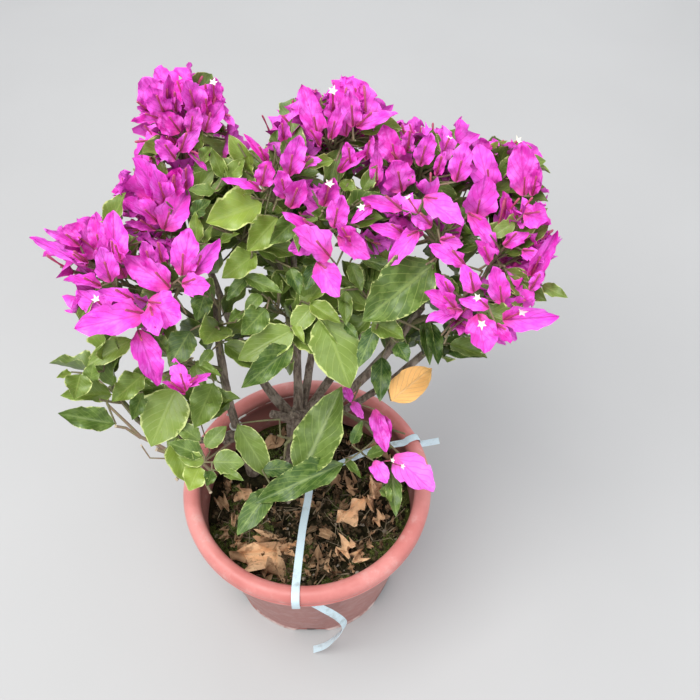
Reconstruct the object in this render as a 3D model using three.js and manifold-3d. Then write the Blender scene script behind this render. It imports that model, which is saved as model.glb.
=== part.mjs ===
// A bougainvillea bush in its round nursery pot: several woody stems on one short gnarled trunk, a loose
// crown of leaves and of magenta bracts in threes, and the flat strap that ties the plant to the pot's rim.
// Millimetres, +Z up. The pot stands on z = 0 and its axis is the Z axis. The side that is seen first faces -Y.
import * as THREE from "three";
import { mergeVertices } from "three/addons/utils/BufferGeometryUtils.js";
import Module from "manifold-3d";

const wasm = await Module();
wasm.setup();

// Driving sizes.
const GAP = 0.3; // what two solids that meet keep clear of each other
const POT_HEIGHT = 185;
const RIM_RADIUS = 125;
const FOOT_RADIUS = 92;
const POT_WALL = 3;
const POT_SIDES = 32;
const LIP_DEPTH = 18;
const LIP_REACH = 9;
const LIP_BAND = 17;
const FLOOR_HEIGHT = 13;
const PAD_RADIUS = 56; // the middle of the underside, which stands level with the foot
const NOTCHES = 6; // arched openings in the foot
const NOTCH_HALF_WIDTH = 20;
const SOIL_DEPTH_BELOW_RIM = 58;
const SOIL_TOP = POT_HEIGHT - SOIL_DEPTH_BELOW_RIM;
const SOIL_WALL_GAP = 0.6;

const LEAF_LENGTH = 52;
const LEAF_WIDTH = 0.6; // share of the length, as the next three are
const LEAF_FOLD = 0.14;
const BRACT_WIDTH = 0.74;
const BRACT_FOLD = 0.12;
const BRACT_LENGTH = 37;
const BRACT_OPENING = [36, 66]; // degrees between the bloom's axis and a bract
const GOLDEN_TURN = Math.PI * (3 - Math.sqrt(5));

const v = (x, y, z) => new THREE.Vector3(x, y, z);
const UP = v(0, 0, 1);
const degrees = THREE.MathUtils.degToRad;

const finishes = {
  pot: { color: 0xb0564a, roughness: 0.6 },
  soil: { color: 0x2e241a, roughness: 0.95 },
  bark: { color: 0x6f6157, roughness: 0.9 },
  leaf: { color: 0x5f8f3c, roughness: 0.55 },
  bloom: { color: 0xe0189e, roughness: 0.6 },
  strap: { color: 0xa9c6cc, roughness: 0.45 },
};

const plant = new THREE.Group();

// Solids. A geometry becomes a solid once its shared corners are merged and its collapsed faces are gone.
function solidOf(geometry) {
  const loose = geometry.index ? geometry.toNonIndexed() : geometry.clone();
  loose.deleteAttribute("normal");
  loose.deleteAttribute("uv");
  const merged = mergeVertices(loose, 1e-4);
  const corners = merged.index.array;
  const kept = [];
  for (let i = 0; i < corners.length; i += 3) {
    const [a, b, c] = [corners[i], corners[i + 1], corners[i + 2]];
    if (a !== b && b !== c && c !== a) kept.push(a, b, c);
  }
  const positions = merged.attributes.position.array;
  return new wasm.Manifold(
    new wasm.Mesh({ numProp: 3, vertProperties: positions, triVerts: new Uint32Array(kept) }),
  );
}

function solidOfFaces(points, faces) {
  const positions = new Float32Array(points.flatMap((p) => [p.x, p.y, p.z]));
  const triVerts = new Uint32Array(faces.flat());
  return new wasm.Manifold(new wasm.Mesh({ numProp: 3, vertProperties: positions, triVerts }));
}

function largestPiece(solid) {
  return solid.decompose().reduce((best, piece) => (piece.volume() > best.volume() ? piece : best));
}

function addNode(name, solid, finish) {
  const made = solid.getMesh();
  const geometry = new THREE.BufferGeometry();
  geometry.setAttribute("position", new THREE.BufferAttribute(new Float32Array(made.vertProperties), 3));
  geometry.setIndex(new THREE.BufferAttribute(made.triVerts, 1));
  geometry.computeVertexNormals();
  const mesh = new THREE.Mesh(geometry, new THREE.MeshStandardMaterial(finishes[finish]));
  mesh.name = name;
  plant.add(mesh);
}

// A limb is a row of rings, each turned as little as possible from the one before.
function tubeSolid(centres, radii, sides, levelFoot = false) {
  const last = centres.length - 1;
  const points = [];
  const faces = [];
  let across = null;
  centres.forEach((centre, i) => {
    const heading = centres[Math.min(i + 1, last)].clone().sub(centres[Math.max(i - 1, 0)]).normalize();
    if (levelFoot && i === 0) heading.copy(UP);
    if (!across) across = Math.abs(heading.z) < 0.9 ? UP.clone() : v(1, 0, 0);
    across = across.addScaledVector(heading, -across.dot(heading)).normalize();
    const other = heading.clone().cross(across);
    for (let k = 0; k < sides; k++) {
      const turn = (2 * Math.PI * k) / sides;
      points.push(
        centre
          .clone()
          .addScaledVector(across, radii[i] * Math.cos(turn))
          .addScaledVector(other, radii[i] * Math.sin(turn)),
      );
    }
  });
  for (let i = 0; i < last; i++)
    for (let k = 0; k < sides; k++) {
      const [a, b] = [i * sides + k, i * sides + ((k + 1) % sides)];
      faces.push([a, b, b + sides], [a, b + sides, a + sides]);
    }
  for (let k = 1; k < sides - 1; k++) {
    faces.push([0, k + 1, k]);
    faces.push([last * sides, last * sides + k, last * sides + k + 1]);
  }
  return solidOfFaces(points, faces);
}

// The pot: a tapered wall under a rolled lip, on a foot with arched notches.
function wallRadius(z) {
  const lipUnderside = RIM_RADIUS - LIP_REACH;
  return FOOT_RADIUS + ((lipUnderside - FOOT_RADIUS) * z) / (POT_HEIGHT - LIP_DEPTH);
}

function potSolid() {
  const lipBottom = POT_HEIGHT - LIP_DEPTH;
  const inside = (z) => wallRadius(z) - POT_WALL;
  const footBead = 1.5;
  const profile = [
    [0, 0],
    [PAD_RADIUS, 0],
    [PAD_RADIUS + 8, FLOOR_HEIGHT - POT_WALL],
    [inside(0) - 1, FLOOR_HEIGHT - POT_WALL],
    [inside(0) - 1, 0],
    [FOOT_RADIUS + footBead, 0],
    [FOOT_RADIUS + footBead, 2],
    [wallRadius(3.5), 3.5],
    [wallRadius(lipBottom - 2), lipBottom - 2],
    [RIM_RADIUS - 1.5, lipBottom],
    [RIM_RADIUS - 0.5, lipBottom + 2.5],
    [RIM_RADIUS - 1.8, lipBottom + 4],
    [RIM_RADIUS, POT_HEIGHT - 8],
    [RIM_RADIUS - 1.2, POT_HEIGHT - 3.5],
    [RIM_RADIUS - 4.5, POT_HEIGHT - 0.7],
    [RIM_RADIUS - 8.5, POT_HEIGHT],
    [RIM_RADIUS - 13, POT_HEIGHT - 0.8],
    [RIM_RADIUS - 16, POT_HEIGHT - 3.2],
    [RIM_RADIUS - LIP_BAND, POT_HEIGHT - 7],
    [inside(SOIL_TOP), SOIL_TOP],
    [inside(FLOOR_HEIGHT), FLOOR_HEIGHT],
    [0, FLOOR_HEIGHT],
  ].map(([r, z]) => new THREE.Vector2(r, z));
  const turned = new THREE.LatheGeometry(profile, POT_SIDES);
  turned.rotateX(Math.PI / 2); // LatheGeometry turns about Y
  const body = solidOf(turned);
  const halfWidth = NOTCH_HALF_WIDTH;
  const height = FLOOR_HEIGHT - POT_WALL - 0.5;
  const arch = new THREE.Shape();
  arch.moveTo(-halfWidth, -1);
  arch.lineTo(halfWidth, -1);
  arch.quadraticCurveTo(halfWidth * 0.8, height, halfWidth * 0.35, height);
  arch.lineTo(-halfWidth * 0.35, height);
  arch.quadraticCurveTo(-halfWidth * 0.8, height, -halfWidth, -1);
  const cutters = Array.from({ length: NOTCHES }, (_, i) => {
    const cutter = new THREE.ExtrudeGeometry(arch, { depth: 40, bevelEnabled: false, curveSegments: 4 });
    cutter.rotateX(Math.PI / 2);
    cutter.translate(0, -FOOT_RADIUS + 20, 0);
    cutter.rotateZ((2 * Math.PI * i) / NOTCHES);
    return solidOf(cutter);
  });
  return cutters.reduce((pot, cutter) => pot.subtract(cutter), body);
}

addNode("pot", potSolid(), "pot");

// The soil, heaped unevenly, level where a stem stands on it, with a few dry curled leaves lying on it.
const STEM_FEET = [v(-12, 62, SOIL_TOP), v(-62, 40, SOIL_TOP)];
const FOOT_CLEARING = 38;

function soilHeight(x, y) {
  const lumps =
    3.2 * Math.sin(x * 0.09 + 1) * Math.cos(y * 0.08) + 2.2 * Math.sin(x * 0.19 - y * 0.15) + 0.02 * y;
  const near = Math.min(...STEM_FEET.map((foot) => Math.hypot(x - foot.x, y - foot.y)));
  return SOIL_TOP + lumps * THREE.MathUtils.smoothstep(near, FOOT_CLEARING, FOOT_CLEARING + 16);
}

function soilSolid() {
  const rings = 6;
  const sides = POT_SIDES;
  const bottom = FLOOR_HEIGHT + GAP;
  const points = [v(0, 0, soilHeight(0, 0)), v(0, 0, bottom)];
  const faces = [];
  const edge = (z) => wallRadius(z) - POT_WALL - SOIL_WALL_GAP;
  for (let ring = 1; ring <= rings + 1; ring++)
    for (let k = 0; k < sides; k++) {
      const turn = (2 * Math.PI * k) / sides;
      const onTop = ring <= rings;
      const radius = onTop ? (edge(SOIL_TOP) * ring) / rings : edge(bottom);
      const [x, y] = [radius * Math.cos(turn), radius * Math.sin(turn)];
      const wallHeight = SOIL_TOP + 0.4 * (soilHeight(x, y) - SOIL_TOP);
      points.push(v(x, y, onTop ? (ring === rings ? wallHeight : soilHeight(x, y)) : bottom));
    }
  const at = (ring, k) => 2 + (ring - 1) * sides + (k % sides);
  for (let k = 0; k < sides; k++) {
    faces.push([0, at(1, k), at(1, k + 1)], [1, at(rings + 1, k + 1), at(rings + 1, k)]);
    for (let ring = 1; ring <= rings; ring++) {
      faces.push([at(ring, k), at(ring + 1, k), at(ring + 1, k + 1)]);
      faces.push([at(ring, k), at(ring + 1, k + 1), at(ring, k + 1)]);
    }
  }
  return solidOfFaces(points, faces);
}

const STALK = 0.55; // half the width of a blade's root
const ROOT_SUNK = 0.2;
const WIDEST = 0.42; // where along its length a blade is widest

// A leaf or bract is a thin blade of eight faces: a root that sinks into its twig, two raised sides and a tip.
function bladePoints({ root, along, face, length, width, fold }) {
  const side = along.clone().cross(face).normalize();
  const top = side.clone().cross(along).normalize();
  const start = root.clone().addScaledVector(along, -ROOT_SUNK);
  const middle = root.clone().addScaledVector(along, WIDEST * length).addScaledVector(top, fold * width);
  return [
    start.clone().addScaledVector(side, -STALK).addScaledVector(top, 0.5 * STALK),
    start.clone().addScaledVector(side, STALK).addScaledVector(top, 0.5 * STALK),
    start.clone().addScaledVector(top, -STALK),
    middle.clone().addScaledVector(side, -0.5 * width),
    middle.clone().addScaledVector(side, 0.5 * width),
    root.clone().addScaledVector(along, length),
  ];
}

const BLADE_FACES = [
  [0, 1, 5], [1, 4, 5], [0, 5, 3],
  [2, 5, 4], [2, 3, 5], [1, 2, 4], [0, 3, 2], [0, 2, 1],
];

const bladeSolid = (blade) => solidOfFaces(bladePoints(blade), BLADE_FACES);

function litterSolid() {
  const litter = [
    { x: -62, y: -72, turn: 12, length: 56, width: 38 },
    { x: -30, y: -52, turn: -80, length: 36, width: 26 },
    { x: 30, y: -48, turn: 55, length: 44, width: 30 },
    { x: 54, y: -26, turn: -12, length: 40, width: 28 },
    { x: 30, y: -74, turn: 28, length: 36, width: 24 },
    { x: -60, y: 8, turn: 160, length: 34, width: 22 },
    { x: 12, y: 82, turn: 10, length: 32, width: 20 },
  ];
  return litter.map(({ x, y, turn, length, width }) => {
    const along = v(Math.cos(degrees(turn)), Math.sin(degrees(turn)), 0.28).normalize();
    const root = v(x, y, soilHeight(x, y));
    return bladeSolid({ root, along, face: UP, length, width, fold: 0.25 });
  });
}

addNode("soil", largestPiece(wasm.Manifold.union([soilSolid(), ...litterSolid()])), "soil");

// What later pieces have to keep clear of: each limb is a run of tapering stretches.
const limbStretches = [];

function keepClear(owner, centres, radii) {
  for (let i = 0; i + 1 < centres.length; i++)
    limbStretches.push({ owner, a: centres[i], b: centres[i + 1], radius: Math.max(radii[i], radii[i + 1]) });
}

// A small repeatable dice: the same seed always grows the same twigs.
function dice(seed) {
  let state = seed;
  return (low, high) => {
    state = (Math.imul(state, 1664525) + 1013904223) >>> 0;
    return low + ((high - low) * state) / 2 ** 32;
  };
}

function curve(from, bend, to, steps) {
  return Array.from({ length: steps + 1 }, (_, i) => {
    const t = i / steps;
    return from
      .clone()
      .multiplyScalar((1 - t) ** 2)
      .addScaledVector(bend, 2 * t * (1 - t))
      .addScaledVector(to, t * t);
  });
}

// The trunk: short and gnarled, wide at its foot, cut flat where it meets the soil.
const trunkCentres = [
  v(-12, 62, SOIL_TOP + GAP), v(-12, 62, SOIL_TOP + 5), v(-13, 62, SOIL_TOP + 16), v(-15, 64, SOIL_TOP + 34),
  v(-13, 67, SOIL_TOP + 52), v(-10, 69, SOIL_TOP + 66), v(-9, 71, SOIL_TOP + 80),
];
const trunkRadii = [18, 14.5, 11, 10, 10.5, 12, 7.5];

const limbs = {};
const halos = [];

// The space that a limb takes with its gap all round.
function haloOf(centres, radii, sides) {
  const last = centres.length - 1;
  const first = centres[0].clone().sub(centres[1]).setLength(GAP).add(centres[0]);
  const end = centres[last].clone().sub(centres[last - 1]).setLength(GAP).add(centres[last]);
  const wide = radii.map((radius) => radius + GAP);
  return tubeSolid([first, ...centres.slice(1, last), end], wide, sides);
}

// A later limb starts inside its parent and is cut back to the gap, so that it sits on the bark like a saddle.
function addLimb(name, centres, radii, sides, levelFoot) {
  const solid = tubeSolid(centres, radii, sides, levelFoot);
  addNode(name, largestPiece(wasm.Manifold.difference([solid, ...halos])), "bark");
  limbs[name] = { centres, radii };
  halos.push(haloOf(centres, radii, sides));
  keepClear(name, centres, radii);
}

function limbStart(parent, place, towards) {
  const { centres, radii } = limbs[parent];
  const spot = place * (centres.length - 1);
  const i = Math.min(Math.floor(spot), centres.length - 2);
  const centre = centres[i].clone().lerp(centres[i + 1], spot - i);
  const axis = centres[i + 1].clone().sub(centres[i]).normalize();
  const outward = towards.clone().sub(centre);
  outward.addScaledVector(axis, -outward.dot(axis)).setLength(0.5 * radii[i]);
  return place === 1 ? centre.addScaledVector(axis, -0.5) : centre.add(outward);
}

addLimb("trunk", trunkCentres, trunkRadii, 10, true);

const BOUGH_RINGS = 6;

function addBough({ name, parent, place, bend, to, thick, thin }) {
  const grounded = parent === "ground";
  const start = grounded ? place : limbStart(parent, place, bend);
  const centres = curve(start, bend, to, BOUGH_RINGS);
  const knuckle = (i) => (i % 3 === 1 ? 0.5 : 0);
  const radii = centres.map((_, i) => thick + ((thin - thick) * i) / BOUGH_RINGS + knuckle(i));
  if (grounded) radii[0] = 1.6 * thick;
  addLimb(name, centres, radii, 6, grounded);
}

const boughs = [
  { name: "left_stem", parent: "ground", place: v(-62, 40, SOIL_TOP + GAP), bend: v(-82, 42, 260),
    to: v(-70, 56, 392), thick: 4.8, thin: 3 },
  { name: "left_back_bough", parent: "trunk", place: 0.8, bend: v(-62, 84, 240), to: v(-88, 112, 410),
    thick: 5.2, thin: 3 },
  { name: "left_low_bough", parent: "left_stem", place: 0.3, bend: v(-125, 5, 225), to: v(-146, -3, 300),
    thick: 3.6, thin: 2.5 },
  { name: "centre_left_bough", parent: "trunk", place: 1, bend: v(-8, 84, 300), to: v(-20, 92, 420),
    thick: 4, thin: 2.7 },
  { name: "centre_bough", parent: "trunk", place: 0.93, bend: v(12, 108, 300), to: v(26, 128, 440),
    thick: 4, thin: 2.7 },
  { name: "right_bough", parent: "trunk", place: 0.72, bend: v(52, 52, 258), to: v(104, 56, 384),
    thick: 5.4, thin: 3.2 },
  { name: "right_low_bough", parent: "trunk", place: 0.6, bend: v(88, 76, 226), to: v(150, 74, 366),
    thick: 4, thin: 2.6 },
  { name: "right_back_bough", parent: "trunk", place: 0.86, bend: v(70, 120, 290), to: v(112, 152, 420),
    thick: 4.2, thin: 2.7 },
  { name: "back_bough", parent: "trunk", place: 0.62, bend: v(-10, 150, 240), to: v(-14, 178, 380),
    thick: 4.2, thin: 2.7 },
  { name: "front_shoot", parent: "trunk", place: 0.45, bend: v(8, 26, 190), to: v(2, 16, 262),
    thick: 3.6, thin: 2.2 },
];
boughs.forEach(addBough);

// The flat strap that ties the plant down: one run from under the front of the lip to the trunk, one from the
// trunk to the right of the rim, where its cut end stands out, and a loose tail that falls to the floor.
const STRAP_WIDTH = 8.7;
const STRAP_THICKNESS = 0.6;

function strapSolid(centres, widths) {
  const last = centres.length - 1;
  const points = centres.flatMap((centre, i) => {
    const heading = centres[Math.min(i + 1, last)].clone().sub(centres[Math.max(i - 1, 0)]).normalize();
    const wide = widths[i].clone().addScaledVector(heading, -widths[i].dot(heading)).setLength(STRAP_WIDTH / 2);
    const thick = heading.clone().cross(wide).setLength(STRAP_THICKNESS / 2);
    return [[1, 1], [-1, 1], [-1, -1], [1, -1]].map(([a, b]) =>
      centre.clone().addScaledVector(wide, a).addScaledVector(thick, b),
    );
  });
  const faces = [[0, 2, 1], [0, 3, 2]];
  for (let i = 0; i < last; i++)
    for (let k = 0; k < 4; k++) {
      const [a, b] = [4 * i + k, 4 * i + ((k + 1) % 4)];
      faces.push([a, b, b + 4], [a, b + 4, a + 4]);
    }
  const end = 4 * last;
  faces.push([end, end + 1, end + 2], [end, end + 2, end + 3]);
  return solidOfFaces(points, faces);
}

function addStrap(name, centres, widths) {
  addNode(name, strapSolid(centres, widths), "strap");
  keepClear(name, centres, centres.map(() => STRAP_WIDTH / 2));
}

const OFF_LIP = GAP + STRAP_THICKNESS / 2 + 0.4; // the strap takes the round of the lip in short flat runs
const lipRound = [
  [-6.5, -20], [-0.5, -20], [OFF_LIP, -16], [OFF_LIP, -7], [-0.6, -2.2], [-4.2, 0.6], [-8.5, OFF_LIP],
  [-13.5, OFF_LIP - 0.9], [-17.5, -2.2],
];
const frontStrap = lipRound.map(([out, up]) => v(-7, -RIM_RADIUS - out, POT_HEIGHT + up));
frontStrap.push(v(-8, -30, POT_HEIGHT - 21), v(-9, 49, POT_HEIGHT - 36));
addStrap("strap_front", frontStrap, frontStrap.map(() => v(1, 0, 0)));

const rightStrap = [
  v(0, 49, 141), v(35, 48, 150), v(62, 47, 165), v(84, 47, 180), v(100, 49, POT_HEIGHT + 1.2),
  v(112, 50, POT_HEIGHT + 1.2), v(128, 46, POT_HEIGHT + 2),
];
addStrap("strap_right", rightStrap, rightStrap.map(() => v(0, 1, 0)));

const tailStrap = [
  v(3, -116, 161), v(12, -117.5, 151), v(27, -119, 132), v(36, -117, 105), v(37, -114, 78), v(30, -113, 50),
  v(17, -115, 24), v(3, -114, 6),
];
const tailTwist = tailStrap.map((_, i) => v(Math.cos(degrees(14 * i)), Math.sin(degrees(14 * i)), 0));
addStrap("strap_tail", tailStrap, tailTwist);

// Each mass of foliage has a heart and a reach, and keeps to its own space: inside its reach, and on its own
// side of the level that parts it from every neighbour. Its stem starts on a limb.
const crownHeart = v(10, 80, 330);
const masses = [
  { name: "left_top_bloom", on: "left_back_bough", at: 1, heart: v(-92, 146, 498), blooms: 9, leaves: 4 },
  { name: "left_upper_bloom", on: "left_back_bough", at: 0.92, heart: v(-104, 98, 460), blooms: 6, leaves: 4 },
  { name: "left_inner_bloom", on: "left_stem", at: 1, heart: v(-98, 36, 436), blooms: 6, leaves: 6 },
  { name: "left_outer_bloom", on: "left_stem", at: 0.85, heart: v(-146, 40, 458), blooms: 8, leaves: 3 },
  { name: "left_drooping_bloom", on: "left_stem", at: 0.68, heart: v(-100, -6, 386), blooms: 3, leaves: 6 },
  { name: "left_tip_leaves", on: "left_low_bough", at: 1, heart: v(-158, -4, 352), blooms: 0, leaves: 10 },
  { name: "left_low_leaves", on: "left_low_bough", at: 0.6, heart: v(-104, -8, 304), blooms: 0, leaves: 14 },
  { name: "left_mid_leaves", on: "left_stem", at: 0.9, heart: v(-62, 30, 396), blooms: 0, leaves: 10 },
  { name: "left_upper_leaves", on: "centre_left_bough", at: 0.9, heart: v(-50, 82, 446),
    blooms: 1, leaves: 14 },
  { name: "centre_left_bloom", on: "centre_left_bough", at: 1, heart: v(-16, 108, 488), blooms: 7, leaves: 5 },
  { name: "centre_top_bloom", on: "centre_bough", at: 1, heart: v(34, 142, 498), blooms: 8, leaves: 5 },
  { name: "centre_bloom", on: "centre_bough", at: 0.88, heart: v(36, 70, 470), blooms: 8, leaves: 6 },
  { name: "centre_leaves", on: "centre_left_bough", at: 0.7, heart: v(-8, 30, 390), blooms: 0, leaves: 16 },
  { name: "centre_low_leaves", on: "front_shoot", at: 1, heart: v(-18, -4, 256), blooms: 0, leaves: 9 },
  { name: "right_leaves", on: "right_bough", at: 0.8, heart: v(74, 40, 402), blooms: 0, leaves: 12 },
  { name: "right_top_bloom", on: "right_back_bough", at: 0.9, heart: v(98, 128, 476), blooms: 7, leaves: 5 },
  { name: "right_back_bloom", on: "right_back_bough", at: 1, heart: v(154, 128, 458), blooms: 8, leaves: 5 },
  { name: "right_mid_bloom", on: "right_bough", at: 1, heart: v(112, 70, 456), blooms: 7, leaves: 4 },
  { name: "right_outer_bloom", on: "right_low_bough", at: 1, heart: v(162, 68, 442), blooms: 8, leaves: 4 },
  { name: "right_low_bloom", on: "right_bough", at: 0.93, heart: v(138, 24, 420), blooms: 8, leaves: 5 },
  { name: "right_low_leaves", on: "right_low_bough", at: 0.75, heart: v(122, 52, 344), blooms: 0, leaves: 9 },
  { name: "faded_bloom", on: "right_bough", at: 0.28, heart: v(80, 8, 246), blooms: 3, leaves: 6 },
  { name: "back_left_leaves", on: "back_bough", at: 0.85, heart: v(-78, 176, 422), blooms: 4, leaves: 12 },
  { name: "back_bloom", on: "back_bough", at: 1, heart: v(4, 200, 440), blooms: 6, leaves: 10 },
  { name: "back_right_leaves", on: "right_back_bough", at: 0.78, heart: v(92, 192, 420),
    blooms: 5, leaves: 12 },
  { name: "back_low_leaves", on: "back_bough", at: 0.6, heart: v(-26, 184, 342), blooms: 0, leaves: 10 },
];
const REACH = 57; // how far a mass reaches from its heart

const STEM_THICK = 2.6;
const STEM_THIN = 1.8;
const TWIG_FOOT = 1.4;
const TWIG_TIP = 1.3;
const HUB = 1.9; // half the height of a bloom's hub
const STEM_STEPS = 3;
const LEAVES_PER_TWIG = 4;
const TWIG_SPREAD = 0.85; // share of the globe round the heart that a mass's twigs point into
const TWIG_REACH = [0.2, 0.42]; // how far they go, as a share of the reach

masses.forEach((mass, i) => {
  mass.seed = 101 + 37 * i;
  const start = limbStart(mass.on, mass.at, mass.heart);
  const lift = start.clone().lerp(mass.heart, 0.5).add(v(0, 0, 0.08 * start.distanceTo(mass.heart)));
  mass.stem = curve(start, lift, mass.heart, STEM_STEPS);
  mass.stemRadii = mass.stem.map((_, k) => STEM_THICK + ((STEM_THIN - STEM_THICK) * k) / STEM_STEPS);
  keepClear(mass.name, mass.stem, mass.stemRadii);
});

// Nearest distance between two stretches.
function stretchDistance(p, q, a, b) {
  const [u, w, r] = [q.clone().sub(p), b.clone().sub(a), p.clone().sub(a)];
  const [uu, ww, uw, ur, wr] = [u.dot(u), w.dot(w), u.dot(w), u.dot(r), w.dot(r)];
  const spread = uu * ww - uw * uw;
  const clamp = (x) => Math.min(Math.max(x, 0), 1);
  let s = spread > 1e-9 ? clamp((uw * wr - ur * ww) / spread) : 0;
  const t = clamp((uw * s + wr) / ww);
  s = clamp((uw * t - ur) / uu);
  return p.clone().addScaledVector(u, s).distanceTo(a.clone().addScaledVector(w, t));
}

const limbHalo = wasm.Manifold.union(halos);
const MARGIN = 0.3;
const BLADE_CLEARANCE = 2.5;
const TWIG_CLEARANCE = 1.5;
const BRACT_TRIES = 10;
const LEAF_TRIES = 30;
const FOOT_VOLUME = 22; // how much of a twig may lie inside what it grows from, in cubic millimetres
const ROOT_VOLUME = 1.6; // how much of a blade may lie inside its twig

function insideOwnSpace(mass, point) {
  const offset = point.clone().sub(mass.heart);
  if (offset.length() > REACH) return false;
  return masses.every((other) => {
    if (other === mass) return true;
    const lead = point.distanceToSquared(other.heart) - offset.lengthSq();
    return lead > 2 * MARGIN * mass.heart.distanceTo(other.heart);
  });
}

function clearOfPot(point) {
  const radius = Math.hypot(point.x, point.y);
  if (point.z > POT_HEIGHT + 4) return true;
  if (radius > RIM_RADIUS + 3) return true;
  return radius < RIM_RADIUS - LIP_BAND - 6 && point.z > SOIL_TOP + 8;
}

function fits(mass, points, edges, clearance) {
  if (!points.every((p) => insideOwnSpace(mass, p) && clearOfPot(p))) return false;
  return edges.every(([i, j]) =>
    limbStretches.every(
      ({ owner, a, b, radius }) =>
        owner === mass.name || stretchDistance(points[i], points[j], a, b) > radius + clearance,
    ),
  );
}

const BLADE_EDGES = [[2, 5], [3, 4], [3, 5], [4, 5], [2, 3], [2, 4]];

// Directions spread evenly over the part of a globe that faces one way.
function spreadDirection(pole, i, count, share) {
  const down = 1 - (2 * share * (i + 0.5)) / count;
  const out = Math.sqrt(1 - down * down);
  const turn = GOLDEN_TURN * i;
  const across = (Math.abs(pole.z) < 0.9 ? UP.clone() : v(1, 0, 0)).cross(pole).normalize();
  const other = pole.clone().cross(across);
  return pole
    .clone()
    .multiplyScalar(down)
    .addScaledVector(across, out * Math.cos(turn))
    .addScaledVector(other, out * Math.sin(turn));
}

// Within a mass a blade meets nothing but the twig that its root is sunk in.
function bladeFits(mass, points) {
  if (!fits(mass, points, BLADE_EDGES, BLADE_CLEARANCE)) return false;
  return mass.body.intersect(solidOfFaces(points, BLADE_FACES)).volume() < ROOT_VOLUME;
}

// A three-sided twig and the bloom on its tip are one solid: up to three bracts open from the twig's end.
function bloomSolid(mass, { from, to }, axis, roll) {
  const length = BRACT_LENGTH * roll(0.9, 1.1);
  const turn = roll(0, 2 * Math.PI);
  const spoke = (k) => spreadDirection(axis, 0, 1, 0.5).applyAxisAngle(axis, turn + (2 * Math.PI * k) / 3);
  const points = [to.clone().addScaledVector(axis, HUB)];
  for (const k of [0, 1, 2]) points.push(from.clone().addScaledVector(spoke(k + 0.5), TWIG_FOOT));
  for (const k of [0, 1, 2]) points.push(to.clone().addScaledVector(spoke(k + 0.5), HUB));
  const faces = [[1, 3, 2]];
  let bracts = 0;
  for (let k = 0; k < 3; k++) {
    const [low, lowNext] = [1 + ((k + 2) % 3), 1 + k];
    const [before, after] = [low + 3, lowNext + 3];
    faces.push([low, lowNext, after], [low, after, before]);
    const blade = findBract(mass, to, axis, spoke(k), length, roll);
    if (!blade) {
      faces.push([0, before, after]);
      continue;
    }
    bracts += 1;
    const first = points.length;
    points.push(blade[4], blade[5], blade[3]);
    const round = [before, first, first + 1, first + 2, after];
    for (let i = 0; i < 4; i++) faces.push([0, round[i], round[i + 1]]);
    faces.push([before, first + 1, first], [before, after, first + 1], [after, first + 2, first + 1]);
  }
  return bracts > 0 ? solidOfFaces(points, faces) : null;
}

function findBract(mass, root, axis, out, length, roll) {
  for (let attempt = 0; attempt < BRACT_TRIES; attempt++) {
    const opening = degrees(roll(...BRACT_OPENING));
    const size = length * (1 - 0.03 * attempt);
    const along = axis.clone().multiplyScalar(Math.cos(opening)).addScaledVector(out, Math.sin(opening));
    const face = axis.clone().multiplyScalar(Math.sin(opening)).addScaledVector(out, -Math.cos(opening));
    const shape = { length: size, width: BRACT_WIDTH * size, fold: BRACT_FOLD };
    const tried = bladePoints({ root, along, face, ...shape });
    if (bladeFits(mass, tried)) return tried;
  }
  return null;
}

function addLeaf(mass, shoot, roll) {
  const { from, to, direction } = shoot;
  for (let attempt = 0; attempt < LEAF_TRIES; attempt++) {
    const root = from.clone().lerp(to, roll(0.45, 1));
    const sideways = spreadDirection(direction, 0, 1, 0.5).applyAxisAngle(direction, roll(0, 2 * Math.PI));
    const along = sideways.addScaledVector(direction, roll(0.1, 1.1));
    along.add(v(0, 0, roll(-0.6, 0.15))).normalize();
    const length = LEAF_LENGTH * roll(0.8, 1.1) * (1 - 0.012 * attempt);
    const face = UP.clone().addScaledVector(direction, 0.6);
    const blade = { root, along, face, length, width: LEAF_WIDTH * length, fold: LEAF_FOLD };
    if (!bladeFits(mass, bladePoints(blade))) continue;
    mass.body = mass.body.add(bladeSolid(blade));
    return;
  }
}

const twigSolid = ({ from, to }) => tubeSolid([from, to], [TWIG_FOOT, TWIG_TIP], 3);

function growMass(mass) {
  const roll = dice(mass.seed);
  mass.body = tubeSolid(mass.stem, mass.stemRadii, 4);
  const pole = mass.heart.clone().sub(crownHeart).setZ(Math.abs(mass.heart.z - crownHeart.z) + 30).normalize();
  const count = mass.blooms + Math.ceil(mass.leaves / LEAVES_PER_TWIG);
  const shoots = [];
  for (let i = 0; i < count; i++) {
    const direction = spreadDirection(pole, i, count, TWIG_SPREAD);
    const place = (0.4 + (0.6 * (i + 0.5)) / count) * STEM_STEPS;
    const k = Math.min(Math.floor(place), STEM_STEPS - 1);
    const from = mass.stem[k].clone().lerp(mass.stem[k + 1], place - k);
    const to = mass.heart.clone().addScaledVector(direction, roll(...TWIG_REACH) * REACH);
    if (!fits(mass, [from, to], [[0, 1]], TWIG_CLEARANCE)) continue;
    shoots.push({ from, to, direction });
  }
  const grown = shoots.filter((shoot, i) => {
    const axis = shoot.direction.clone().add(v(0, 0, 0.35)).normalize();
    const solid = i < mass.blooms ? bloomSolid(mass, shoot, axis, roll) : twigSolid(shoot);
    if (!solid || mass.body.intersect(solid).volume() > FOOT_VOLUME) return false;
    mass.body = mass.body.add(solid);
    return true;
  });
  for (let i = 0; i < mass.leaves; i++) addLeaf(mass, grown[grown.length - 1 - (i % grown.length)], roll);
  addNode(mass.name, largestPiece(mass.body.subtract(limbHalo)), mass.blooms > 4 ? "bloom" : "leaf");
}

masses.forEach(growMass);
export default plant;
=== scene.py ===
import math
from itertools import combinations

import bpy
import numpy as np
from mathutils import Matrix, Vector, noise


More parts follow.
